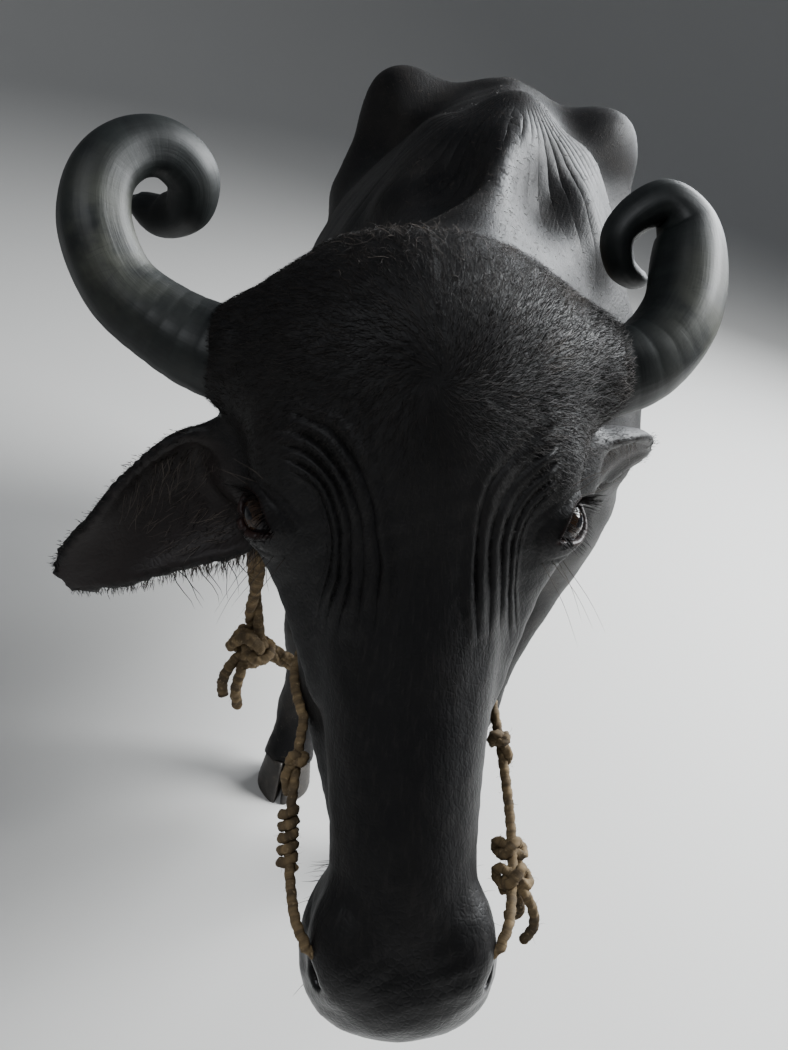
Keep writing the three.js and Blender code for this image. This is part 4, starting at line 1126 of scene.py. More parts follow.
def dust_mask(p, q):
    low = 0.8 * smooth_step(-p[:, 2], -620, -90) + 0.5 * bell(p[:, 2], 640, 120)
    hips = 0.6 * smooth_step(p[:, 1], 380, 760)
    return (0.35 + low + hips) * smooth_step(-q[:, 2], 170, 300)


def mark_skin(mesh, place, lift):
    """What the hide's material reads at each vertex."""
    q = to_head(place)
    face = q[:, 2] > FACE_FROM
    beat, depth = fold_marks(q)
    back_beat, back_depth = withers_marks(place)
    marks = {
        # Painted shade: the skin is darkened where its relief sinks into folds and creases.
        "fold_shade": np.clip(-lift / 2.2, 0, 1),
        "wet": wet_mask(q, face),
        "rim": rim_mask(q, face),
        "cup": cup_mask(q) * face,
        "bare": udder_mask(place),
        "dusty": dust_mask(place, q),
        "beat": np.where(face, beat, back_beat),
        "creased": np.where(face, depth, back_depth),
    }
    for name, values in marks.items():
        set_number(mesh, name, values)
    set_vector(mesh, "strand", strand_place(place, q))


def make_skin():
    points, quads, strip = skin_net()
    piece = mesh_object("skin", from_head(points), [quads, strip])
    mesh = piece.data
    set_places(mesh, settle(skin_field, relaxed(points_of(mesh), edges_of(mesh), 1), 2))
    for level in (0, 1):
        refined(mesh, lambda p: fine_zone(p)[level])
    place = skin_places(mesh)
    _, normal = slope_of(skin_field, place)
    lift = relief(place)
    place = place + unit(normal) * lift[:, None]
    set_places(mesh, place)
    faced_out(piece)
    mark_skin(mesh, place, lift)
    return piece


# Node trees and materials
class Term:
    """One output in a node tree, which takes part in Python sums."""

    def __init__(self, tree, socket):
        self.tree, self.socket = tree, socket

    def also(self, output):
        """Another output of the same node."""
        return Term(self.tree, self.socket.node.outputs[output])

    def maths(self, operation, *others):
        feeds = dict(enumerate((self, *others)))
        return self.tree.made("ShaderNodeMath", feeds, operation=operation)

    def __add__(self, other):
        return self.maths("ADD", other)

    def __sub__(self, other):
        return self.maths("SUBTRACT", other)

    def __mul__(self, other):
        return self.maths("MULTIPLY", other)

    def __truediv__(self, other):
        return self.maths("DIVIDE", other)

    def __pow__(self, other):
        return self.maths("POWER", other)

    def __rsub__(self, other):
        return self * -1.0 + other

    __radd__, __rmul__ = __add__, __mul__

    def between(self, low, high):
        return self.tree.made("ShaderNodeMapRange", {"Value": self, "From Min": low, "From Max": high},
                              interpolation_type="SMOOTHSTEP")


class Tree:
    """A node tree under construction."""

    def __init__(self, tree):
        self.tree = tree

    def feed(self, node, feeds):
        for key, value in feeds.items():
            if isinstance(value, Term):
                self.tree.links.new(value.socket, node.inputs[key])
            elif value is not None:
                node.inputs[key].default_value = value

    def made(self, kind, feeds=None, output=0, **settings):
        """One output of a new node, whose inputs are fed by name or number."""
        node = self.tree.nodes.new(kind)
        for key, value in settings.items():
            setattr(node, key, value)
        self.feed(node, feeds or {})
        return Term(self, node.outputs[output]) if node.outputs else None


def opaque(colour):
    """A plain colour as its four numbers; anything else as it is."""
    return (*colour, 1.0) if isinstance(colour, tuple) else colour


class Shade(Tree):
    """A material under construction."""

    def __init__(self, name):
        self.material = bpy.data.materials.new(name)
        self.material.use_nodes = True
        super().__init__(self.material.node_tree)
        self.tree.nodes.clear()

    def place(self):
        return self.made("ShaderNodeTexCoord", None, "Object")

    def attribute(self, name, output="Fac"):
        return self.made("ShaderNodeAttribute", None, output, attribute_name=name)

    def attributes(self, *names):
        return [self.attribute(name) for name in names]

    def stretched(self, vector, scale):
        return self.made("ShaderNodeMapping", {"Vector": vector, "Scale": scale}, vector_type="POINT")

    def noise(self, vector, scale, detail=3.0, roughness=0.55, warp=0.0):
        return self.made("ShaderNodeTexNoise", {"Vector": vector, "Scale": scale, "Detail": detail,
                                                "Roughness": roughness, "Distortion": warp})

    def cells(self, vector, scale):
        return self.made("ShaderNodeTexVoronoi", {"Vector": vector, "Scale": scale}, "Distance",
                         feature="DISTANCE_TO_EDGE")

    def mixed(self, share, a, b):
        return self.made("ShaderNodeMix", {0: share, 6: opaque(a), 7: opaque(b)}, 2, data_type="RGBA")

    def layered(self, colour, *layers):
        """Lays tones over a colour, each by its own share."""
        for share, tone in layers:
            colour = self.mixed(share, colour, tone)
        return colour

    def bumps(self, *rows):
        """Bumps from rows of height, distance and strength, each over the one before."""
        normal = None
        for height, distance, strength in rows:
            normal = self.made("ShaderNodeBump", {"Height": height, "Distance": distance,
                                                  "Strength": strength, "Normal": normal})
        return normal

    def surface(self, colour, roughness, normal=None, **constants):
        feeds = {key.replace("_", " "): value for key, value in constants.items()}
        shader = self.made("ShaderNodeBsdfPrincipled", {
            "Base Color": opaque(colour), "Roughness": roughness, "Normal": normal, **feeds})
        self.made("ShaderNodeOutputMaterial", {0: shader})
        return self.material


def hide_tone(shade, place):
    """The animal's own colour, read alike by the skin and by the hair that grows on it."""
    broad = shade.noise(place, 2.3, 2.0)
    mottled = shade.noise(place, 14.0, 4.0, 0.6)
    tone = shade.mixed(broad.between(0.35, 0.7), (0.0036, 0.0034, 0.0039), (0.0068, 0.0062, 0.0062))
    return shade.mixed(mottled.between(0.42, 0.75) * 0.55, tone, (0.0108, 0.0097, 0.0092))


def hide_material():
    shade = Shade("hide")
    place, strand = shade.place(), shade.attribute("strand", "Vector")
    fold_shade, wet, rim, cup, bare = shade.attributes("fold_shade", "wet", "rim", "cup", "bare")
    dusty, creased, beat = shade.attributes("dusty", "creased", "beat")
    streak = shade.noise(shade.stretched(strand, (1.0, 0.09, 0.6)), 620.0, 3.0, 0.6)
    coarse = shade.noise(shade.stretched(strand, (1.0, 0.16, 0.7)), 150.0, 4.0, 0.6)
    grain = shade.cells(place, 210.0)
    cracks = shade.cells(shade.stretched(strand, (1.0, 0.45, 0.8)), 58.0)
    crease = (beat * math.pi).maths("SINE").maths("ABSOLUTE") ** 0.6
    dust = shade.noise(place, 7.0, 6.0, 0.68, 0.5)
    specks = shade.noise(place, 95.0, 3.0, 0.6)
    colour = shade.layered(
        hide_tone(shade, place),
        (streak.between(0.5, 0.72) * 0.4, (0.021, 0.0185, 0.0172)),
        # Painted shade: the grooves of the brow folds and of the withers' creases are darkened.
        (creased * (1.0 - crease.between(0.15, 0.6)) * 0.6, (0.0022, 0.0020, 0.0022)),
        (cup * (0.35 + 0.5 * shade.noise(place, 32.0)), (0.024, 0.0185, 0.0175)),
        (dusty * (0.75 * dust.between(0.44, 0.74)), (0.040, 0.034, 0.029)),
        (dusty * (0.5 * specks.between(0.62, 0.72)), (0.075, 0.064, 0.053)),
        (bare * 0.75, (0.060, 0.046, 0.044)),
        (wet * 0.8, (0.0062, 0.0060, 0.0064)),
        (rim * 0.8, (0.024, 0.0115, 0.0098)),
        # Painted shade in the hollows of the relief.
        (fold_shade * 0.65, (0.0040, 0.0037, 0.0040)))
    rough = 0.44 + 0.16 * shade.noise(place, 30.0) + 0.12 * dusty * dust - 0.2 * wet - 0.12 * rim
    normal = shade.bumps(
        (crease * creased, 0.0048, 0.8),
        (streak, 0.0007, 0.7),
        (coarse, 0.0010, 0.35),
        (grain.between(0.0, 0.25), 0.0003, 0.35),
        (cracks.between(0.0, 0.12), 0.0003, 0.1))
    return shade.surface(colour, rough, normal, Specular_IOR_Level=0.23)


def hair_material():
    shade = Shade("hair")
    place = shade.place()
    colour = shade.mixed(shade.attribute("pale"), hide_tone(shade, place), (0.21, 0.175, 0.15))
    return shade.surface(colour, 0.5 + 0.1 * shade.noise(place, 200.0), Specular_IOR_Level=0.17)


def horn_material():
    shade = Shade("horn")
    place, strand = shade.place(), shade.attribute("strand", "Vector")
    along, worn = shade.attributes("along", "worn")
    fibre = shade.noise(shade.stretched(strand, (1.0, 1.0, 0.07)), 330.0, 4.0, 0.6)
    band = shade.noise(shade.stretched(strand, (0.25, 0.25, 1.0)), 70.0, 4.0, 0.65, 0.4)
    crack = shade.cells(shade.stretched(strand, (0.35, 0.35, 1.9)), 42.0)
    blotch = shade.noise(place, 26.0, 4.0, 0.6)
    crackle = (1.0 - crack.between(0.0, 0.03)) * worn.between(0.3, 0.7)
    colour = shade.layered(
        (0.0036, 0.0048, 0.0050),
        (band.between(0.35, 0.7), (0.0088, 0.0114, 0.0110)),
        (blotch.between(0.5, 0.75) * 0.5, (0.017, 0.020, 0.018)),
        (along.between(0.72, 1.0) * 0.8, (0.0048, 0.0058, 0.0058)),
        (worn * blotch.between(0.3, 0.6), (0.058, 0.060, 0.047)),
        (crackle * 0.3, (0.012, 0.013, 0.012)))
    normal = shade.bumps(
        (fibre, 0.0005, 0.5),
        (band, 0.0007, 0.35),
        (crack.between(0.0, 0.06), 0.0002, 0.08))
    return shade.surface(colour, 0.42 + 0.2 * blotch, normal, Specular_IOR_Level=0.3,
                         Coat_Weight=0.05, Coat_Roughness=0.35)


def hoof_material():
    shade = Shade("hoof")
    place = shade.place()
    rings = shade.noise(shade.stretched(place, (0.12, 0.12, 1.0)), 190.0, 4.0, 0.6)
    fibre = shade.noise(shade.stretched(place, (1.0, 1.0, 0.1)), 420.0, 3.0, 0.6)
    dust = shade.noise(place, 60.0, 5.0, 0.65)
    colour = shade.layered(
        (0.012, 0.0105, 0.010),
        (rings, (0.046, 0.040, 0.034)),
        (dust.between(0.5, 0.78) * 0.6, (0.125, 0.105, 0.085)))
    normal = shade.bumps((fibre, 0.0005, 0.5), (rings, 0.0016, 0.7))
    return shade.surface(colour, 0.42 + 0.3 * dust, normal)


def eye_material():
    shade = Shade("eye")
    iris, pupil = shade.attributes("iris", "pupil")
    rays = shade.noise(shade.attribute("strand", "Vector"), 9.0, 4.0, 0.6)
    brown = shade.mixed(rays.between(0.3, 0.75), (0.014, 0.008, 0.005), (0.052, 0.027, 0.014))
    colour = shade.layered(
        (0.003, 0.003, 0.005),
        (pupil.between(0.9, 1.08), brown),
        (iris.between(11.0, 12.4), (0.012, 0.009, 0.010)),
        (iris.between(14.0, 19.0), (0.034, 0.023, 0.020)))
    return shade.surface(colour, 0.06, Specular_IOR_Level=0.2, Coat_Weight=0.35,
                         Coat_Roughness=0.02)


def rope_material():
    shade = Shade("rope")
    place, strand = shade.place(), shade.attribute("run", "Vector")
    fibre = shade.noise(shade.stretched(strand, (1.0, 0.14, 1.0)), 900.0, 4.0, 0.65)
    grime = shade.noise(place, 19.0, 5.0, 0.6)
    flecks = shade.noise(place, 300.0, 2.0, 0.6)
    colour = shade.layered(
        (0.060, 0.040, 0.020),
        (fibre.between(0.3, 0.75), (0.240, 0.165, 0.080)),
        (grime.between(0.42, 0.68) * 0.75, (0.036, 0.025, 0.014)),
        (flecks.between(0.58, 0.75) * 0.6, (0.36, 0.265, 0.145)))
    return shade.surface(colour, 0.86, shade.bumps((fibre, 0.0006, 0.9)))


# Horns: place on the middle line and radius, from the root to the tip
HORNS = {
    -1: [
        [-100, -84, -64, 36],
        [-107, -140, -62, 33],
        [-126, -180, -59, 29],
        [-151, -210, -55, 26.5],
        [-192, -227, -52, 25.5],
        [-229, -224, -58, 24],
        [-252, -206, -72, 22.5],
        [-257, -184, -87, 22.5],
        [-243, -167, -102, 22],
        [-224, -171, -117, 20.5],
        [-220, -190, -129, 18],
        [-229, -207, -135, 12],
        [-236, -217, -138, 6],
    ],
    1: [
        [-98, 84, -64, 36],
        [-102, 134, -62, 32],
        [-116, 170, -66, 30],
        [-150, 198, -77, 30],
        [-191, 208, -90, 29.5],
        [-221, 207, -95, 24.5],
        [-237, 190, -93, 18],
        [-227, 167, -93, 15],
        [-210, 154, -95, 13],
        [-191, 158, -102, 11.5],
        [-184, 169, -111, 10],
        [-184, 178, -119, 8],
        [-186, 185, -124, 4],
    ],
}


HORN_RINGS, HORN_SIDES, HORN_TIP = 260, 44, 6
RING_LENGTH = 11.5  # from one growth ring to the next


def carried_frames(at, hint, closed=False):
    """Directions along, up and to the side at each point of a path, turning as little as can be."""
    along = unit(np.roll(at, -1, 0) - np.roll(at, 1, 0)) if closed else unit(np.gradient(at, axis=0))
    up = np.array(hint, float)
    ups = []
    for way in along:
        up = unit(up - way * (up @ way))
        ups.append(up)
    ups = np.array(ups)
    return along, ups, np.cross(along, ups)


def ring_faces(count, sides, closed=False):
    rows = np.arange(count if closed else count - 1)[:, None] * sides
    i = np.arange(sides)[None]
    j = (i + 1) % sides
    total = count * sides
    quads = np.stack([rows + i, rows + j, (rows + sides) % total + j, (rows + sides) % total + i], -1)
    return quads.reshape(-1, 4)


def capped(rings):
    """Points and faces of rings joined in a row, closed by a fan at each end."""
    count, sides = rings.shape[:2]
    points = np.vstack([rings.reshape(-1, 3), rings[0].mean(0), rings[-1].mean(0)])
    i = np.arange(sides)
    j = (i + 1) % sides
    first = np.stack([j, i, np.full(sides, count * sides)], 1)
    last = (count - 1) * sides
    second = np.stack([last + i, last + j, np.full(sides, count * sides + 1)], 1)
    return points, [ring_faces(count, sides), np.vstack([first, second])]


def make_horn(s):
    rows = np.array(HORNS[s])
    rows = spline(np.column_stack([from_head(rows[:, :3]), rows[:, 3]]), HORN_RINGS)
    at, radius = rows[:, :3], rows[:, 3]
    run = length_to(at)
    t = run / run[-1]
    _, up, side = carried_frames(at, HEAD[2])
    angle = round_angles(HORN_SIDES)
    beat = run / RING_LENGTH + 0.5 * np.sin(run / (2 * RING_LENGTH))
    ridge = 0.8 * (ridges(beat) - 0.6) * (1 - smooth_step(t, 0.16, 0.4))
    ridge = ridge * smooth_step(t, 0.05, 0.12) + 0.12 * np.sin(run / 9.1)
    flat = 1 + 0.05 * np.cos(3 * angle + 0.6)[None] + 0.012 * np.sin(7 * angle + t[:, None] * 9)
    fade = 0.6 + 0.4 * np.cos(angle - 2.2)[None]
    reach = radius[:, None] * flat - 0.6 + ridge[:, None] * fade
    reach[-HORN_TIP:] *= np.linspace(1, 0.35, HORN_TIP)[:, None]
    a = reach * 1.03 * np.cos(angle)
    b = reach * 0.92 * np.sin(angle)
    rings = at[:, None] + a[..., None] * side[:, None] + b[..., None] * up[:, None]
    points, faces = capped(rings)
    piece = faced_out(mesh_object(f"horn_{side_name(s)}_fine", points, faces))
    strand = np.stack([radius[:, None] * np.cos(angle), radius[:, None] * np.sin(angle),
                       np.tile(run[:, None], HORN_SIDES)], -1).reshape(-1, 3) / 1000
    worn = bell(t, 0.42, 0.12)[:, None] * smooth_step(np.cos(angle - 0.9), -0.2, 0.9)[None]
    pad = lambda rows: np.vstack([rows, rows[:1], rows[-1:]])
    set_vector(piece.data, "strand", pad(strand))
    set_number(piece.data, "along", np.append(t.repeat(HORN_SIDES), [0, 1]))
    set_number(piece.data, "worn", np.append(worn.ravel(), [0, 0]))
    return piece


PUPIL = (6.4, 3.6)  # half its width and half its height


def make_eye(s):
    rings, sides = 40, 48
    polar = np.linspace(0.03, math.pi - 0.03, rings)
    angle = round_angles(sides)
    bulge = EYE_RADIUS - 0.5 + 1.5 * (1 - smooth_step(polar, 0.1, 0.62))
    x = (bulge * np.sin(polar))[:, None] * np.cos(angle)
    y = (bulge * np.sin(polar))[:, None] * np.sin(angle)
    z = np.repeat((bulge * np.cos(polar))[:, None], sides, 1)
    local = np.stack([x, y, z], -1)
    points, faces = capped(from_head(local @ eye_axes(s) + on_side(EYE_AT, s)))
    piece = faced_out(mesh_object(f"eye_{side_name(s)}_ball", points, faces))
    flat = np.vstack([local.reshape(-1, 3), [0, 0, EYE_RADIUS], [0, 0, -EYE_RADIUS]])
    far = np.where(flat[:, 2] > 0, np.hypot(flat[:, 0], flat[:, 1]), 22)
    turn = np.arctan2(flat[:, 1], flat[:, 0])
    set_number(piece.data, "iris", far)
    pupil = np.hypot(flat[:, 0] / PUPIL[0], flat[:, 1] / PUPIL[1]) + (flat[:, 2] < 0) * 9
    set_number(piece.data, "pupil", pupil)
    set_vector(piece.data, "strand", np.stack([np.cos(turn), np.sin(turn), far * 0.03], 1))
    return piece


# Feet
def coronet_at(y, middle):
    return CORONET_HEIGHT - (y - middle) * CORONET_SLOPE


def claw(foot, inner):
    """One claw from the sole up; inner is 1 or -1 for the side of the cleft that it stands on."""
    x, middle, width, toe, heel, _ = FEET[foot]
    angle = round_angles(40)
    c, s = np.cos(angle), np.sin(angle)
    rows, rings = 14, []
    for i in range(rows + 1):
        rise = i / rows
        size = 0.97 + 0.03 * min(rise * 5, 1) - 0.19 * max(rise - 0.15, 0) / 0.85
        growth = 0.5 * math.sin(rise * 40) * (0.1 < rise < 0.95)
        long = np.where(s < 0, toe, heel) * size + growth
        narrow = np.where(s < 0, 1 - 0.45 * s * s, 1 - 0.12 * s * s)
        reach = np.where(c > 0, width * narrow, width * 0.15)
        across = np.maximum(1.4 + width * 0.15 + c * (reach * size + growth), 1.4)
        y = middle + s * long - 12 + 16 * rise
        top = coronet_at(y, middle) - 0.3
        z = np.where(rise < 0.12, rise / 0.12 * 3.5, 3.5 + (top - 3.5) * (rise - 0.12) / 0.88)
        rings.append(np.stack([x + inner * across, y, np.maximum(z, 0)], 1))
    return capped(np.array(rings))


def dewclaw(foot, inner):
    x, middle, *_, back = FEET[foot]
    x, y = x + inner * 22, middle + back
    path = spline([[x, y - 26, 150, 15], [x, y, 138, 12], [x + inner * 3, y + 6, 112, 7]], 12)
    at, radius = path[:, :3], path[:, 3] * np.sqrt(np.linspace(1, 0.3, 12))
    _, up, side = carried_frames(at, (1, 0, 0.1))
    angle = round_angles(18)
    ring = side[:, None] * np.cos(angle)[None, :, None] + up[:, None] * np.sin(angle)[None, :, None]
    return capped(at[:, None] + ring * radius[:, None, None])


def joined(parts):
    """One set of points and faces from several."""
    points, faces, start = [], {}, 0
    for part_points, part_faces in parts:
        points.append(part_points)
        for f in part_faces:
            faces.setdefault(f.shape[1], []).append(f + start)
        start += len(part_points)
    return np.vstack(points), [np.vstack(f) for f in faces.values()]


def make_hooves():
    made = []
    for foot in FEET:
        parts = [form_of(foot, inner) for form_of in (claw, dewclaw) for inner in (1, -1)]
        piece = faced_out(mesh_object(f"hoof_{foot}_fine", *joined(parts)))
        made.append((piece, [f"hoof_{foot}_outer", f"hoof_{foot}_inner"]))
    return made


# Coat
FACE_LIE = 60.0  # how far the whorl still turns the hair
HAIR_SIDES = 3
HAIR_SUNK = 0.7  # how deep a hair's root stands in the skin
UV_REACH = 0.0013  # of one hair on the map for baking


def atlas(p):
    """A place for each point on an unwrap of the animal: head, ears, trunk and legs side by side."""
    q = to_head(p)
    on_head = q[:, 2] > NECK_JOIN
    turn = np.arctan2(q[:, 1], q[:, 2] + 90) / (2 * math.pi) + 0.5
    uv = np.column_stack([0.01 + 0.46 * turn, 0.52 + 0.47 * (q[:, 0] + 340) / 750])
    for i, s in enumerate((1, -1)):
        ear = on_ear(q, s * q[:, 1], 124)
        t, a, b, *_ = ear_place(s, q[ear])
        uv[ear] = np.column_stack([
            0.5 + 0.25 * i + 0.11 + 0.1 * np.arctan2(b, a) / math.pi,
            0.52 + 0.46 * t,
        ])
    trunk_turn = np.arctan2(p[:, 0], p[:, 2] - 900) / (2 * math.pi) + 0.5
    body = np.column_stack([0.01 + 0.97 * (p[:, 1] + 1300) / 2350, 0.01 + 0.3 * trunk_turn])
    for i, (x, y, *_) in enumerate(FEET.values()):
        near = (p[:, 2] < 600) & (np.abs(p[:, 0] - x) < 150) & (np.abs(p[:, 1] - y) < 190)
        round_leg = np.arctan2(p[near, 0] - x, p[near, 1] - y) / (2 * math.pi) + 0.5
        body[near] = np.column_stack([
            0.01 + 0.25 * i + 0.22 * round_leg, 0.34 + 0.16 * p[near, 2] / 600])
    return np.where(on_head[:, None], uv, body)


def surface_of(piece):
    """Points, triangles and normals of a piece."""
    mesh = piece.data
    mesh.calc_loop_triangles()
    corners = np.empty(len(mesh.loop_triangles) * 3, np.int32)
    mesh.loop_triangles.foreach_get("vertices", corners)
    normals = np.empty(len(mesh.vertices) * 3, np.float32)
    mesh.vertices.foreach_get("normal", normals)
    return points_of(mesh), corners.reshape(-1, 3), normals.reshape(-1, 3)


def triangles_of(points, corners):
    """Middle and area of each triangle."""
    a, b, c = (points[corners[:, i]] for i in range(3))
    return (a + b + c) / 3, np.linalg.norm(np.cross(b - a, c - a), axis=1) / 2


def roots_on(surface, density, seed):
    """Random points of a surface, density(p, q) of them to the square millimetre."""
    points, corners, normals = surface
    rng = np.random.default_rng(seed)
    middle, area = triangles_of(points, corners)
    count = np.floor(density(middle, to_head(middle)) * area + rng.random(len(area))).astype(int)
    face = np.repeat(np.arange(len(corners)), count)
    f, g = rng.random((2, len(face)))
    swap = f + g > 1
    f[swap], g[swap] = 1 - f[swap], 1 - g[swap]
    weights = np.stack([1 - f - g, f, g], 1)[..., None]
    at = (points[corners[face]] * weights).sum(1)
    return at, unit((normals[corners[face]] * weights).sum(1))


def lie_of(p, n, rng, loose):
    """The way the coat lies: out from the whorl on the face, back along the body, down the legs."""
    q = to_head(p)
    du, dv = q[:, 0] - WHORL[0], q[:, 1] - WHORL[1]
    far = np.hypot(du, dv) + 1e-6
    swirl = 0.9 * np.exp(-far / FACE_LIE)
    flat = np.column_stack([du - swirl * dv, dv + swirl * du, 0 * du]) / far[:, None]
    jaw = smooth_step(-q[:, 2], 60, 150)[:, None]
    way = (flat * (1 - jaw) + np.array([0.1, 0, -1.0]) * jaw) @ HEAD
    body = np.tile([0.0, 1.0, -0.4], (len(p), 1))
    limb = smooth_step(-p[:, 2], -700, -520)[:, None]
    body = body * (1 - limb) + np.array([0, 0.12, -1.0]) * limb
    on_face = smooth_step(q[:, 2], -250, -170)[:, None]
    way = way * on_face + body * (1 - on_face)
    for s in (1, -1):
        ear = on_ear(q, s * q[:, 1], 122)
        rows = np.array(EARS[s])
        way[ear] = unit(rows[-1, :3] - rows[0, :3]) @ HEAD
    way = unit(way) + loose * rng.normal(size=way.shape)
    return unit(way - n * (way * n).sum(1)[:, None])


def hairs(root, way, normal, length, width, lift, steps, curl, seed, droop=0.0):
    """Solid tapering hairs. Returns points, faces and how far along its hair each point is."""
    rng = np.random.default_rng(seed)
    count = len(root)
    length, width, lift, curl = (np.broadcast_to(v, count).astype(float)
                                 for v in (length, width, lift, curl))
    side = np.cross(normal, way)
    phase = rng.uniform(0, 6.28, count)
    rings = []
    spread = round_angles(HAIR_SIDES)
    for j in range(steps + 1):
        s = j / steps
        swing = curl * length
        middle = (
            root - normal * HAIR_SUNK
            + way * (length * s * (1 - 0.12 * lift * s))[:, None]
            + normal * (length * lift * s * (1 - 0.45 * s))[:, None]
            + side * (swing * (np.sin(phase + 5.2 * s) - np.sin(phase)))[:, None]
            + normal * (swing * s * np.cos(phase + 5.2 * s))[:, None]
            + np.array([0, 0, -1.0]) * (droop * length * s * s)[:, None]
        )
        if j == steps:
            tip = middle
            break
        r = width / 2 * (1 - s) ** 0.6
        rings.append(
            middle[:, None]
            + side[:, None] * (r[:, None] * np.cos(spread))[..., None]
            + normal[:, None] * (0.6 * r[:, None] * np.sin(spread))[..., None]
        )
    rings = np.stack(rings, 1)
    each = steps * HAIR_SIDES + 1
    points = np.concatenate([rings.reshape(count, -1, 3), tip[:, None]], 1).reshape(-1, 3)
    start = (np.arange(count) * each)[:, None, None]
    last = (steps - 1) * HAIR_SIDES
    i = np.arange(HAIR_SIDES)
    cap = np.stack([last + i, last + (i + 1) % HAIR_SIDES, np.full(HAIR_SIDES, each - 1)], 1)
    cap = np.vstack([cap, [[2, 1, 0]]])
    faces = [(start + ring_faces(steps, HAIR_SIDES)[None]).reshape(-1, 4),
             (start + cap[None]).reshape(-1, 3)]
    return points, faces, each


def hair_piece(name, root, way, normal, length, width, lift, pale, **shape):
    """One piece of coat with its bake map and, for each hair, how pale it is."""
    points, faces, each = hairs(root, way, normal, length, width, lift, **shape)
    piece = mesh_object(name, points, faces)
    mesh = piece.data
    rows = shape["steps"]
    fan = np.array([[UV_REACH * math.cos(a) * (1 - 0.6 * r / rows),
                     UV_REACH * math.sin(a) * (1 - 0.6 * r / rows)]
                    for r in range(rows) for a in round_angles(HAIR_SIDES)] + [[0.0, 0.0]])
    uv = (atlas(root)[:, None] + fan[None]).reshape(-1, 2)
    corner = np.empty(len(mesh.loops), np.int32)
    mesh.loops.foreach_get("vertex_index", corner)
    layer = mesh.uv_layers.new(name="OFBake")
    layer.data.foreach_set("uv", uv[corner].astype(np.float32).ravel())
    set_number(mesh, "pale", np.broadcast_to(pale, len(root)).repeat(each))
    return piece


def coat_parts(name, parts, root, way, normal, length, width, lift, pale, **shape):
    """A piece of hair for each part, which says which of the hairs it takes."""
    rows = [root, way, normal, *(np.broadcast_to(v, len(root)) for v in (length, width, lift, pale))]
    return [hair_piece(f"{name}_{part}", *(row[chosen] for row in rows), **shape)
            for part, chosen in parts.items()]


def short_face(p, q):
    """How many short hairs a square millimetre of the head carries."""
    front = smooth_step(q[:, 2], -285, -200)
    front = front * (1 - 0.55 * smooth_step(-q[:, 2], 90, 170))
    muzzle = 1 - smooth_step(q[:, 0], 262, 312)
    clear = np.ones(len(q))
    for s in (1, -1):
        e = eye_place(s, q)
        clear *= 1 - (e[:, 2] > 0) * (1 - smooth_step(np.hypot(e[:, 0] / 24, e[:, 1] / 17), 0.9, 1.3))
    ear = on_ear(q, np.abs(q[:, 1]), 124)
    cup = cup_mask(q)
    beat, depth = fold_marks(q)
    clear *= 1 - 0.85 * np.minimum(depth, 1) * (ridges(beat) < 0.45)
    return 0.2 * front * (0.12 + 0.88 * muzzle) * clear * np.where(ear, 0.7 - 0.55 * cup, 1)


def face_coat(surface):
    """The short coat of the head, in four pieces."""
    rng = np.random.default_rng(SEED)
    root, normal = roots_on(surface, short_face, SEED + 1)
    q = to_head(root)
    way = lie_of(root, normal, rng, 0.3)
    dome = smooth_step(-q[:, 0], -10, 90) * smooth_step(q[:, 2], -150, -60)
    right = dome * smooth_step(q[:, 1], 35, 85)
    far = np.hypot(q[:, 0] - WHORL[0], q[:, 1] - WHORL[1])
    length = 5.5 + 6.5 * dome + 3 * right + 1.5 * rng.random(len(root))
    length *= 1 - 0.35 * smooth_step(q[:, 0], 120, 260)
    lift = 0.16 + 0.2 * dome * bell(far, 0, 45) + 0.32 * right + 0.16 * rng.random(len(root)) * dome
    streak = np.clip(wobble(q * [1, 1, 0.2], 26, 31), 0, 1)
    # On the viewer's right of the dome, the side the key light falls on, the paler hairs are partly pale
    # hair and partly painted sheen.
    pale = np.clip(0.02 + 0.10 * rng.random(len(root)) ** 3 + (0.26 * right + 0.07 * dome)
                   * streak * rng.random(len(root)), 0, 1)
    left, high = q[:, 1] > 0, q[:, 0] < -24
    parts = {"left_high": left & high, "left_low": left & ~high,
             "right_high": ~left & high, "right_low": ~left & ~high}
    return coat_parts("coat_face", parts, root, way, normal, length, 0.52, lift, pale,
                      steps=2, curl=0.05, seed=SEED + 2)


def body_coat(surface):
    """The sparse coat of neck, trunk and legs, in two pieces."""
    rng = np.random.default_rng(SEED + 5)

    def density(p, q):
        away = smooth_step(-q[:, 2], 200, 285)
        neck = 1 - smooth_step(p[:, 1], -1000, -450)
        low = smooth_step(-p[:, 2], -620, -420)
        feet = smooth_step(p[:, 2], 45, 75)
        crest = bell(p[:, 0], 0, 60) * smooth_step(p[:, 2], 1150, 1240)
        return (0.0036 + 0.011 * neck + 0.006 * low + 0.008 * crest) * away * feet

    root, normal = roots_on(surface, density, SEED + 6)
    way = lie_of(root, normal, rng, 0.3)
    length = 10 + 9 * rng.random(len(root))
    length *= 1 - 0.35 * smooth_step(-root[:, 2], -600, -300)
    pale = 0.06 + 0.24 * rng.random(len(root)) ** 2
    parts = {"front": root[:, 1] < -430, "back": root[:, 1] >= -430}
    return coat_parts("coat_body", parts, root, way, normal, length, 0.95, 0.13, pale,
                      steps=2, curl=0.06, seed=SEED + 7)


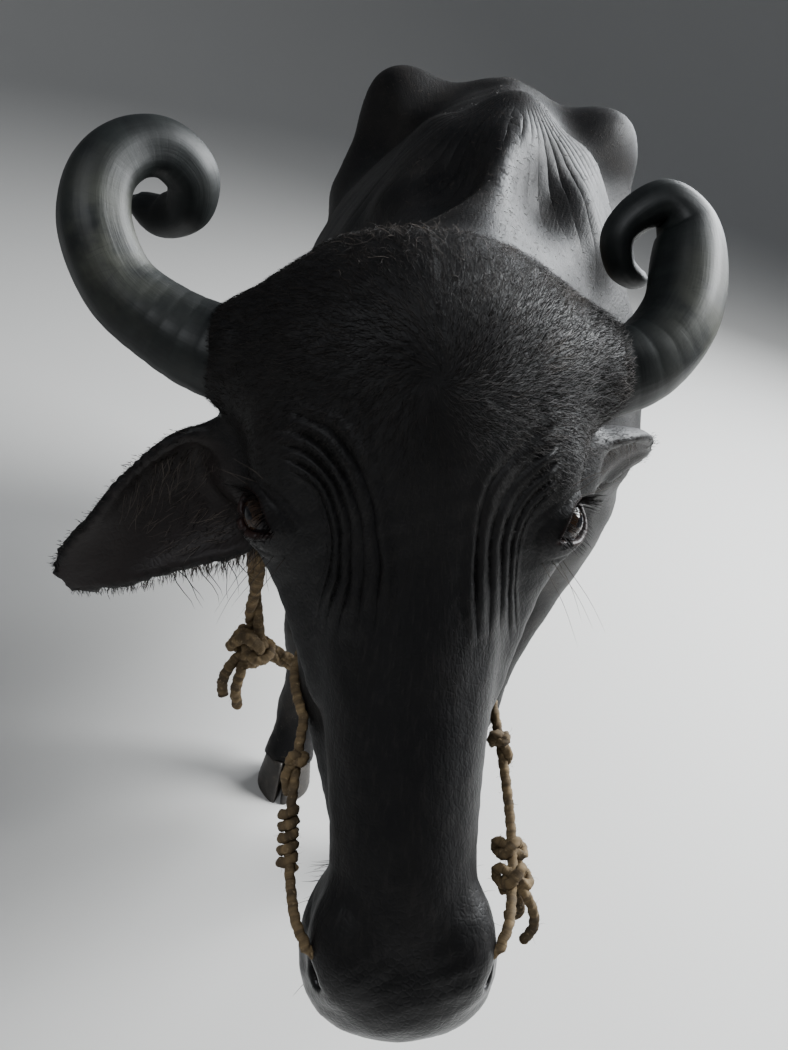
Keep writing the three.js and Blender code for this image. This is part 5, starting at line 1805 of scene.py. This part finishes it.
def curly_coat(surface):
    """The curled tuft on the poll and the loose curls on the left of the forehead."""
    rng = np.random.default_rng(SEED + 10)

    def density(p, q):
        poll = bell(q[:, 0], -176, 26) * bell(q[:, 1], -6, 48) * smooth_step(q[:, 2], -190, -110)
        curls = bell(q[:, 0], -128, 34) * bell(q[:, 1], 82, 34) * smooth_step(q[:, 2], -120, -50)
        return 0.022 * poll + 0.018 * curls

    root, normal = roots_on(surface, density, SEED + 11)
    q = to_head(root)
    poll = bell(q[:, 0], -176, 26) * bell(q[:, 1], -6, 48)
    way = lie_of(root, normal, rng, 0.7)
    length = 7 + 7 * poll + 7 * rng.random(len(root))
    lift = 0.35 + 0.35 * poll * rng.random(len(root))
    pale = 0.05 + 0.34 * rng.random(len(root)) ** 2
    return [hair_piece("coat_curls", root, way, normal, length, 0.8, lift, pale, steps=6,
                       curl=0.16, seed=SEED + 12)]


def rim_line(s, lower):
    """The upper or lower edge of an ear, the way along it, the way off it and the cup's own way."""
    at, along, across, opened, half, depth, _ = ear_frames(s, RIM_STEPS)
    sign = np.sign(across[:, 0]).mean() * (1 if lower else -1)
    sign = 1 if sign > 0 else -1
    edge = at + sign * across * (half - 2)[:, None] + opened * (CUP_SHIFT * depth - 1)[:, None]
    return edge, along, sign * across, opened


def fringe(s, lower, count, rng):
    """Hairs on one edge of an ear: root, way, normal, length, how pale, width."""
    edge, along, outward, opened = rim_line(s, lower)
    t = rng.random(count) ** (1.25 if lower else 1.0)
    i = (3 + t * 55).astype(int)
    spread = rng.normal(size=(3, count, 1)) * [[[2.0]], [[0.18]], [[0.2]]]
    root = edge[i] + along[i] * spread[0] + rng.normal(size=(count, 3)) * 1.6
    way = unit(outward[i] * (0.75 + spread[1]) + along[i] * 0.55 + opened[i] * spread[2])
    near = 1 - t
    length = (4 + 22 * near**1.5 * rng.random(count)) if lower else 2 + 3 * rng.random(count)
    pale = np.clip((0.2 + 0.75 * near) * rng.random(count), 0.05, 1) * (1 if lower else 0.5)
    return root, way, opened[i], length, pale, np.full(count, 0.65)


def fringe_locks(s, count, rng):
    """A few long dark hairs on the lower edge of an ear, with the same values."""
    edge, along, outward, opened = rim_line(s, True)
    i = rng.integers(10, 40, count)
    way = unit(outward[i] * 0.9 + along[i] * 0.15 + rng.normal(size=(count, 3)) * 0.12)
    length = rng.uniform(26, 44, count)
    return edge[i], way, opened[i], length, np.full(count, 0.03), np.full(count, 1.1)


def cup_hair(s, count, rng):
    """The hair inside an ear's cup, with the same values."""
    at, along, across, opened, half, depth, wall = ear_frames(s, RIM_STEPS)
    i = rng.integers(8, 34, count)
    turn = rng.uniform(-1.2, 1.2, count)
    inner = (half - wall)[i, None] * np.sin(turn)[:, None] * across[i]
    floor = CUP_SHIFT * depth[i] - (depth - wall)[i] * np.cos(turn)
    root = at[i] + inner + opened[i] * floor[:, None]
    lift = opened[i] * 0.5 + along[i] * 0.7 - across[i] * np.sin(turn)[:, None] * 0.6
    way = unit(lift + rng.normal(size=(count, 3)) * 0.2)
    normal = unit(np.cross(way, along[i] + 0.01))
    length = rng.uniform(10, 24, count)
    return root, way, normal, length, rng.uniform(0.1, 0.75, count), np.full(count, 0.6)


def ear_hair():
    rng = np.random.default_rng(SEED + 20)
    groups = []
    for s in (1, -1):
        groups.append(fringe(s, True, 640, rng))
        groups.append(fringe(s, False, 190, rng))
        groups.append(fringe_locks(s, 9, rng))
        groups.append(cup_hair(s, 260, rng))
    root, way, normal, length, pale, width = (np.concatenate(v) for v in zip(*groups))
    normal = unit(normal - way * (normal * way).sum(1)[:, None])
    return [hair_piece("hair_ears", from_head(root), way @ HEAD, normal @ HEAD, length, width, 0.12,
                       pale, steps=4, curl=0.06, droop=0.12, seed=SEED + 21)]


def lashes_and_whiskers():
    rng = np.random.default_rng(SEED + 30)
    groups = []

    def add(root, way, length, pale, width):
        count = len(root)
        way = unit(way + rng.normal(size=(count, 3)) * 0.08)
        length = length * rng.uniform(0.75, 1.1, count)
        groups.append((root, way, length, np.full(count, pale), np.full(count, width)))

    for s in (1, -1):
        margin = spline(lid_margin(s)[:-1], 120, True)
        e = eye_place(s, margin)
        long, _, out = eye_axes(s)
        front = np.array([0, 0, 1.0])
        upper = margin[e[:, 1] * -s > 2.0]
        upper = np.repeat(upper, 2, 0) + rng.normal(size=(2 * len(upper), 3)) * 0.5
        fan = (eye_place(s, upper)[:, :1] / 20) * long
        add(upper, out * 0.95 + front * 0.35 + fan * 0.8 + [0.25, 0, 0], 24, 0.02, 0.75)
        lower = margin[e[:, 1] * s > 4.0][::2]
        add(lower, out * 0.8 - front * 0.35 + [0.5, 0, 0], 12, 0.05, 0.6)
        spots = on_side(EYE_AT, s) + np.array([
            [34, s * 2, 12], [30, s * 6, 0], [26, s * 8, -12], [38, -s * 4, 20],
            [-24, s * 4, 20], [-28, 0, 26], [-20, s * 8, 8]])
        spots = settle(head_skin, spots, 5, 12)
        add(spots[:4], np.array([0.75, s * 0.5, 0.12]), 58, 0.25, 0.65)
        add(spots[4:], np.array([-0.5, s * 0.75, 0.5]), 34, 0.6, 0.6)
        count = 42
        lips = np.column_stack([rng.uniform(268, 384, count), s * rng.uniform(6, 62, count),
                                rng.uniform(-142, -88, count)])
        lips = settle(head_skin, lips, 6, 14)
        _, g = slope_of(head_skin, lips)
        add(lips, unit(g) * 0.8 + [0.45, 0, -0.2], 18, 0.3, 0.6)
    root, way, length, pale, width = (np.concatenate(v) for v in zip(*groups))
    normal = unit(np.cross(way, [0.2, 0.9, 0.4]))
    bend = np.sign((normal * [-0.4, 0, 1.0]).sum(1))[:, None]
    return [hair_piece("hair_lashes", from_head(root), way @ HEAD, normal * bend @ HEAD, length,
                       width, 0.25, pale, steps=6, curl=0.02, droop=0.1, seed=SEED + 31)]


def make_switch():
    """The tail's tuft: tapered locks that hang round the end of the tail."""
    rng = np.random.default_rng(SEED + 40)
    count = 520
    down = rng.random(count)
    z = 712 - 150 * down
    line = spline(TAIL, 60)
    x = np.interp(-z, -line[:, 2], line[:, 0])
    y = np.interp(-z, -line[:, 2], line[:, 1])
    thick = np.interp(-z, -line[:, 2], line[:, 3])
    angle = rng.uniform(0, 2 * math.pi, count)
    out = np.column_stack([np.cos(angle), np.sin(angle), 0 * angle])
    root = np.column_stack([x, y, z]) + out * (thick * 0.75)[:, None]
    way = unit(out * 0.14 + [0, 0, -1.0] + rng.normal(size=(count, 3)) * 0.04)
    normal = unit(out - way * (out * way).sum(1)[:, None])
    length = rng.uniform(120, 175, count) + 40 * down
    pale = 0.03 + 0.12 * rng.random(count) ** 2
    return hair_piece("tail_switch_locks", root, way, normal, length, 2.6, 0.06, pale, steps=9,
                      curl=0.035, droop=0.02, seed=SEED + 41)


# Ropes, made by Geometry Nodes from their paths
PLIES, PLY_DEPTH = 3, 0.22


def turned_path(tree, source):
    """The path, tilted by a whole number of plies, and how far along it each place is."""
    fine = tree.made("GeometryNodeResampleCurve", {"Curve": source, "Length": source.also("Step")},
                     mode="LENGTH")
    turns = tree.made("GeometryNodeSplineLength", None, "Length") / source.also("Turn length")
    turns = (turns * PLIES).maths("ROUND") / PLIES
    factor = tree.made("GeometryNodeSplineParameter", None, "Factor")
    tilted = tree.made("GeometryNodeSetCurveTilt", {"Curve": fine, "Tilt": turns * factor * 2 * math.pi})
    kept = tree.tree.nodes.new("GeometryNodeCaptureAttribute")
    kept.capture_items.new("FLOAT", "Run")
    tree.feed(kept, {"Geometry": tilted, "Run": factor.also("Length")})
    return Term(tree, kept.outputs["Geometry"]), Term(tree, kept.outputs["Run"])


def lobed_ring(tree, source):
    """The outline of a rope, a ring with a lobe for each ply."""
    ring = tree.made("GeometryNodeCurvePrimitiveCircle",
                     {"Resolution": 5 * PLIES, "Radius": source.also("Radius")}, "Curve")
    place = tree.made("GeometryNodeInputPosition")
    x = tree.made("ShaderNodeSeparateXYZ", {0: place}, "X")
    angle = x.also("Y").maths("ARCTAN2", x)
    lobe = (angle * (PLIES / 2)).maths("COSINE").maths("ABSOLUTE")
    size = 1.0 - (1.0 - lobe) * PLY_DEPTH
    moved = tree.made("ShaderNodeVectorMath", {0: place, "Scale": size}, operation="SCALE")
    return tree.made("GeometryNodeSetPosition", {"Geometry": ring, "Position": moved})


def rope_group(material):
    """The node group that sweeps the lobed ring along a path."""
    group = bpy.data.node_groups.new("laid_rope", "GeometryNodeTree")
    add = group.interface.new_socket
    add("Path", in_out="INPUT", socket_type="NodeSocketGeometry")
    for name in ("Radius", "Step", "Turn length"):
        add(name, in_out="INPUT", socket_type="NodeSocketFloat")
    add("Geometry", in_out="OUTPUT", socket_type="NodeSocketGeometry")
    tree = Tree(group)
    source = tree.made("NodeGroupInput", None, "Path")
    path, run = turned_path(tree, source)
    swept = tree.made("GeometryNodeCurveToMesh", {
        "Curve": path, "Profile Curve": lobed_ring(tree, source), "Fill Caps": True})
    stored = tree.made("GeometryNodeStoreNamedAttribute", {
        "Geometry": swept, "Name": "run", "Value": tree.made("ShaderNodeCombineXYZ", {"Y": run})},
        data_type="FLOAT_VECTOR", domain="POINT")
    real = tree.made("GeometryNodeRealizeInstances", {0: stored})
    painted = tree.made("GeometryNodeSetMaterial", {"Geometry": real, "Material": material})
    tree.made("NodeGroupOutput", {"Geometry": painted})
    return group


def laid_rope(name, group, route, radius, turn):
    """A plain mesh of a rope; route(radius) gives its paths as (points, closed)."""
    curve = bpy.data.curves.new(name + "_path", "CURVE")
    curve.dimensions = "3D"
    for points, closed in route(radius):
        line = curve.splines.new("POLY")
        line.points.add(len(points) - 1)
        line.points.foreach_set("co", np.column_stack([world(points), np.ones(len(points))]).ravel())
        line.use_cyclic_u = closed
    holder = placed(name + "_path", curve)
    modifier = holder.modifiers.new("rope", "NODES")
    modifier.node_group = group
    values = {"Radius": radius / 1000, "Turn length": turn / 1000, "Step": radius * 0.0006}
    for item in group.interface.items_tree:
        if item.item_type == "SOCKET" and item.in_out == "INPUT" and item.name in values:
            modifier[item.identifier] = values[item.name]
    bpy.context.view_layer.update()
    graph = bpy.context.evaluated_depsgraph_get()
    mesh = bpy.data.meshes.new_from_object(holder.evaluated_get(graph), depsgraph=graph)
    smoothed(mesh)
    bpy.data.objects.remove(holder)
    return faced_out(placed(name, mesh))


def kept_off(points, clear):
    """Moves the points of a path that are nearer than clear to the skin out to it."""
    points = points.copy()
    close = skin_field(points) < clear
    if close.any():
        points[close] = settle(lambda p: skin_field(p) - clear, points[close], 5, 12)
    return points


def overhand(at, axis, size, turn):
    """A closed path in the shape of an overhand knot drawn tight."""
    axis = unit(axis)
    first = unit(np.cross(axis, [0.2, 0.9, 0.4]))
    second = np.cross(axis, first)
    t = round_angles(72)
    x = (np.sin(t) + 2 * np.sin(2 * t)) / 3
    y = (np.cos(t) - 2 * np.cos(2 * t)) / 3
    z = -np.sin(3 * t) * 0.42
    c, s = math.cos(turn), math.sin(turn)
    x, y = c * x - s * y, s * x + c * y
    return np.array(at) + size * (x[:, None] * first + y[:, None] * second * 0.85 + z[:, None] * axis)


NOSE_ROPE = [
    [322, 0, -66],
    [322, 30, -56],
    [318, 52, -40],
    [297, 72, -42],
    [270, 80, -66],
    [237, 82, -85],
    [189, 78, -104],
    [150, 72, -120],
    [100, 66, -156],
    [58, 70, -186],
    [10, 84, -208],
    [-56, 100, -222],
    [-114, 100, -212],
    [-160, 72, -174],
    [-190, 38, -140],
    [-198, 0, -132],
]
COLLAR = [
    [-55, -1045, 1275],
    [-125, -1035, 1225],
    [-170, -1020, 1120],
    [-178, -1005, 1000],
    [-172, -995, 900],
    [-158, -992, 815],
    [-110, -985, 785],
    [-45, -980, 795],
    [20, -985, 845],
    [64, -992, 930],
    [80, -1005, 1030],
    [72, -1022, 1130],
    [28, -1038, 1232],
]
COLLAR_KNOT = (-166, -1002, 806)
# Radius of the strands and length of one turn of their plies
NOSE_ROPE_LAY = (4.2, 26)
COLLAR_LAY = (6.4, 36)
COLLAR_TURNS = 9
NOSE_ROPE_FIBRES, COLLAR_FIBRES = 700, 1200


def nose_rope_paths(radius):
    """The loop round the head, its knots, their short ends and a wrap on the right cheek."""
    half = np.array(NOSE_ROPE, float)
    mirrored = half[1:-1][::-1] * [1, -1, 1]
    loop = spline(from_head(np.vstack([half, mirrored])), 420, True)
    q = to_head(loop)
    outside = (q[:, 0] < 300) | (np.abs(q[:, 1]) > 66)
    loop[outside] = kept_off(loop[outside], radius * 0.9)
    paths = [(loop, True)]
    knots = [((171, 73, -100), 6.5, 1), ((188, -78, -100), 6.5, -1), ((266, 82, -72), 14, 1),
             ((249, 81, -84), 12, 1)]
    for place, size, s in knots:
        at = kept_off(from_head([place]), radius * 1.6)[0]
        paths.append((overhand(at, HEAD[0] + 0.3 * HEAD[2], size, s + size), True))
    tails = [
        [(266, 82, -70), (284, 94, -66), (302, 98, -72), (316, 92, -80)],
        [(266, 82, -72), (286, 88, -78), (300, 90, -92), (306, 84, -104)],
        [(171, 73, -100), (182, 81, -102), (190, 81, -108)],
        [(188, -78, -100), (199, -86, -99), (214, -84, -101)],
        [(249, 81, -84), (262, 89, -92), (280, 88, -98), (288, 80, -108)],
    ]
    for tail in tails:
        paths.append((kept_off(spline(from_head(tail), 26), radius * 0.8), False))
    wrap = np.array([[u, -83 + 0 * u, -84 - 0.32 * (237 - u)] for u in np.linspace(222, 262, 60)])
    turn = np.linspace(0, 2 * math.pi * 5, 60)
    wrap = wrap + np.column_stack([0 * turn, radius * 1.1 * np.cos(turn), radius * 1.1 * np.sin(turn)])
    paths.append((kept_off(from_head(wrap), radius * 0.7), False))
    return paths


def neck_rope_paths(radius):
    """Two strands laid round each other, three knots in one and two short ends."""
    ring = kept_off(np.array(COLLAR, float), radius * 1.9)
    middle = spline(ring, 520, True)
    along, _, _ = carried_frames(middle, (0.3, 0.2, 1), True)
    _, out = slope_of(skin_field, middle)
    out = unit(out - along * (out * along).sum(1)[:, None])
    across = np.cross(along, out)
    turn = np.linspace(0, 2 * math.pi * COLLAR_TURNS, 520, endpoint=False)
    paths = []
    for phase in (0, math.pi):
        shift = out * (0.55 * radius * np.cos(turn + phase))[:, None]
        shift = shift + across * (radius * np.sin(turn + phase))[:, None]
        paths.append((kept_off(middle + shift, radius * 0.85), True))
    knot_at = np.array(COLLAR_KNOT, float)
    for size, axis, turned in ((23, (0.3, 0.4, 1), 0.4), (20, (1, 0.3, 0.2), 1.9),
                               (17, (0.2, 1, 0.3), 0.9)):
        paths.append((overhand(knot_at + np.array(axis) * 3, axis, size, turned), True))
    tails = [[(0, 0, 0), (-14, -12, -18), (-20, -14, -40), (-18, -12, -58)],
             [(0, 0, 0), (-2, -18, -22), (-4, -20, -44), (0, -16, -66)]]
    for tail in tails:
        paths.append((kept_off(spline(knot_at + np.array(tail, float), 30), radius * 0.9), False))
    return paths


def rope_fibres(name, rope, count, seed):
    """Loose fibres that stand off a rope, about count of them."""
    rng = np.random.default_rng(seed)
    surface = surface_of(rope)
    points, corners, _ = surface
    _, area = triangles_of(points, corners)
    root, normal = roots_on(surface, lambda p, q: np.full(len(p), count / area.sum()), seed)
    way = unit(np.cross(normal, rng.normal(size=normal.shape)) + 0.45 * normal)
    normal = unit(normal - way * (normal * way).sum(1)[:, None])
    made = hair_piece(name, root, way, normal, rng.uniform(3, 8, len(root)), 0.35, 0.3, 0.5,
                      steps=3, curl=0.12, seed=seed + 1)
    set_vector(made.data, "run", np.zeros((len(made.data.vertices), 3)))
    return made


# Camera, light and floor
CAMERA_AT = (-42.0, -1980.0, 1470.0)
CAMERA_DOWN, CAMERA_ROLL = math.radians(26.4), math.radians(12.2)
SENSOR = 36
CAMERA_LENS = 1100 / 1050 * SENSOR
# Lights: place, target, size, power, colour
LIGHTS = {
    "key": ((3.0, 0.9, 3.2), (0, -0.3, 0.8), 2.4, 500, (0.95, 0.98, 1.0)),
    "back": ((2.1, 3.1, 2.5), (0, 0.2, 1.0), 2.2, 170, (0.92, 0.96, 1.0)),
    "front": ((-0.9, -2.6, 3.3), (0, -1.0, 1.1), 1.3, 34, (0.93, 0.96, 1.0)),
}
SKY, SKY_STRENGTH = (0.80, 0.86, 0.95, 1), 0.17
# The floor in metres: where it starts to sweep up, how far the sweep goes and its upper edge
FLOOR_REACH, FLOOR_SWEEP, FLOOR_TOP = 9, 6, 7.5
FLOOR_SIDES = 72


def make_camera():
    data = bpy.data.cameras.new("camera")
    data.sensor_width = SENSOR
    data.lens = CAMERA_LENS
    data.clip_start, data.clip_end = 0.05, 60
    camera = placed("camera", data)
    ahead = Vector((0, math.cos(CAMERA_DOWN), -math.sin(CAMERA_DOWN)))
    right = Vector((1, 0, 0))
    up = right.cross(ahead)
    turned = right * math.cos(CAMERA_ROLL) + up * math.sin(CAMERA_ROLL)
    upright = up * math.cos(CAMERA_ROLL) - right * math.sin(CAMERA_ROLL)
    camera.matrix_world = Matrix.Translation(world(CAMERA_AT)) @ Matrix(
        (turned, upright, -ahead)).transposed().to_4x4()
    bpy.context.scene.camera = camera


def area_light(name, at, target, size, power, colour):
    data = bpy.data.lights.new(name, "AREA")
    data.shape, data.size, data.energy, data.color = "DISK", size, power, colour
    light = placed(name, data)
    light.location = at
    light.rotation_euler = (Vector(target) - Vector(at)).to_track_quat("-Z", "Y").to_euler()


def make_floor():
    """A pale round floor that sweeps up at its edge, so that no far edge shows."""
    angle = np.linspace(0, math.pi / 2, 20)
    sweep = np.column_stack([FLOOR_REACH + FLOOR_SWEEP * np.sin(angle),
                             FLOOR_SWEEP - FLOOR_SWEEP * np.cos(angle)])
    profile = np.vstack([[[0.0004, 0]], sweep, [[FLOOR_REACH + FLOOR_SWEEP, FLOOR_TOP]]])
    turn = round_angles(FLOOR_SIDES)
    ring = np.stack([np.cos(turn), np.sin(turn)], 1)
    points = [(r * x, r * y, z) for r, z in profile for x, y in ring]
    mesh = bpy.data.meshes.new("floor")
    mesh.from_pydata(points, [], [tuple(face) for face in ring_faces(len(profile), FLOOR_SIDES)])
    smoothed(mesh)
    floor = bpy.data.objects.new("floor", mesh)
    bpy.context.scene.collection.objects.link(floor)
    mesh.materials.append(Shade("floor").surface((0.60, 0.59, 0.57), 0.8))


def make_studio():
    sky = bpy.data.worlds.new("studio")
    sky.use_nodes = True
    background = sky.node_tree.nodes["Background"].inputs
    background["Color"].default_value = SKY
    background["Strength"].default_value = SKY_STRENGTH
    bpy.context.scene.world = sky
    for name, values in LIGHTS.items():
        area_light(name, *values)
    make_floor()


LEGS = [f"leg_{end}_{side}_{part}" for end in ("fore", "hind")
        for side in ("left", "right") for part in ("upper", "lower")]
SKINNED = ["head", "torso", "neck", "ear_left", "ear_right", *LEGS, "tail", "udder"]


def make_coat(skin, material):
    surface = surface_of(skin)
    for piece in (*face_coat(surface), *body_coat(surface), *curly_coat(surface), *ear_hair(),
                  *lashes_and_whiskers()):
        finished(piece, "hair", material)
    finished(make_switch(), "hair", material, "tail_switch")


def make_ropes(material):
    group = rope_group(material)
    nose = laid_rope("nose_rope_laid", group, nose_rope_paths, *NOSE_ROPE_LAY)
    neck = laid_rope("neck_rope_laid", group, neck_rope_paths, *COLLAR_LAY)
    finished(rope_fibres("nose_rope_fibres", nose, NOSE_ROPE_FIBRES, SEED + 50), "rope", material)
    finished(rope_fibres("neck_rope_fibres", neck, COLLAR_FIBRES, SEED + 52), "rope", material)
    finished(nose, "rope", material, "nose_rope")
    finished(neck, "rope", material, "neck_rope")


make_camera()
make_studio()
skin = finished(make_skin(), "hide", hide_material(), *SKINNED)
horn_stuff, eye_stuff, hoof_stuff = horn_material(), eye_material(), hoof_material()
for s in (1, -1):
    finished(make_horn(s), "horn", horn_stuff, f"horn_{side_name(s)}")
    finished(make_eye(s), "eye", eye_stuff, f"eye_{side_name(s)}")
for piece, nodes in make_hooves():
    finished(piece, "hoof", hoof_stuff, *nodes)
make_coat(skin, hair_material())
make_ropes(rope_material())
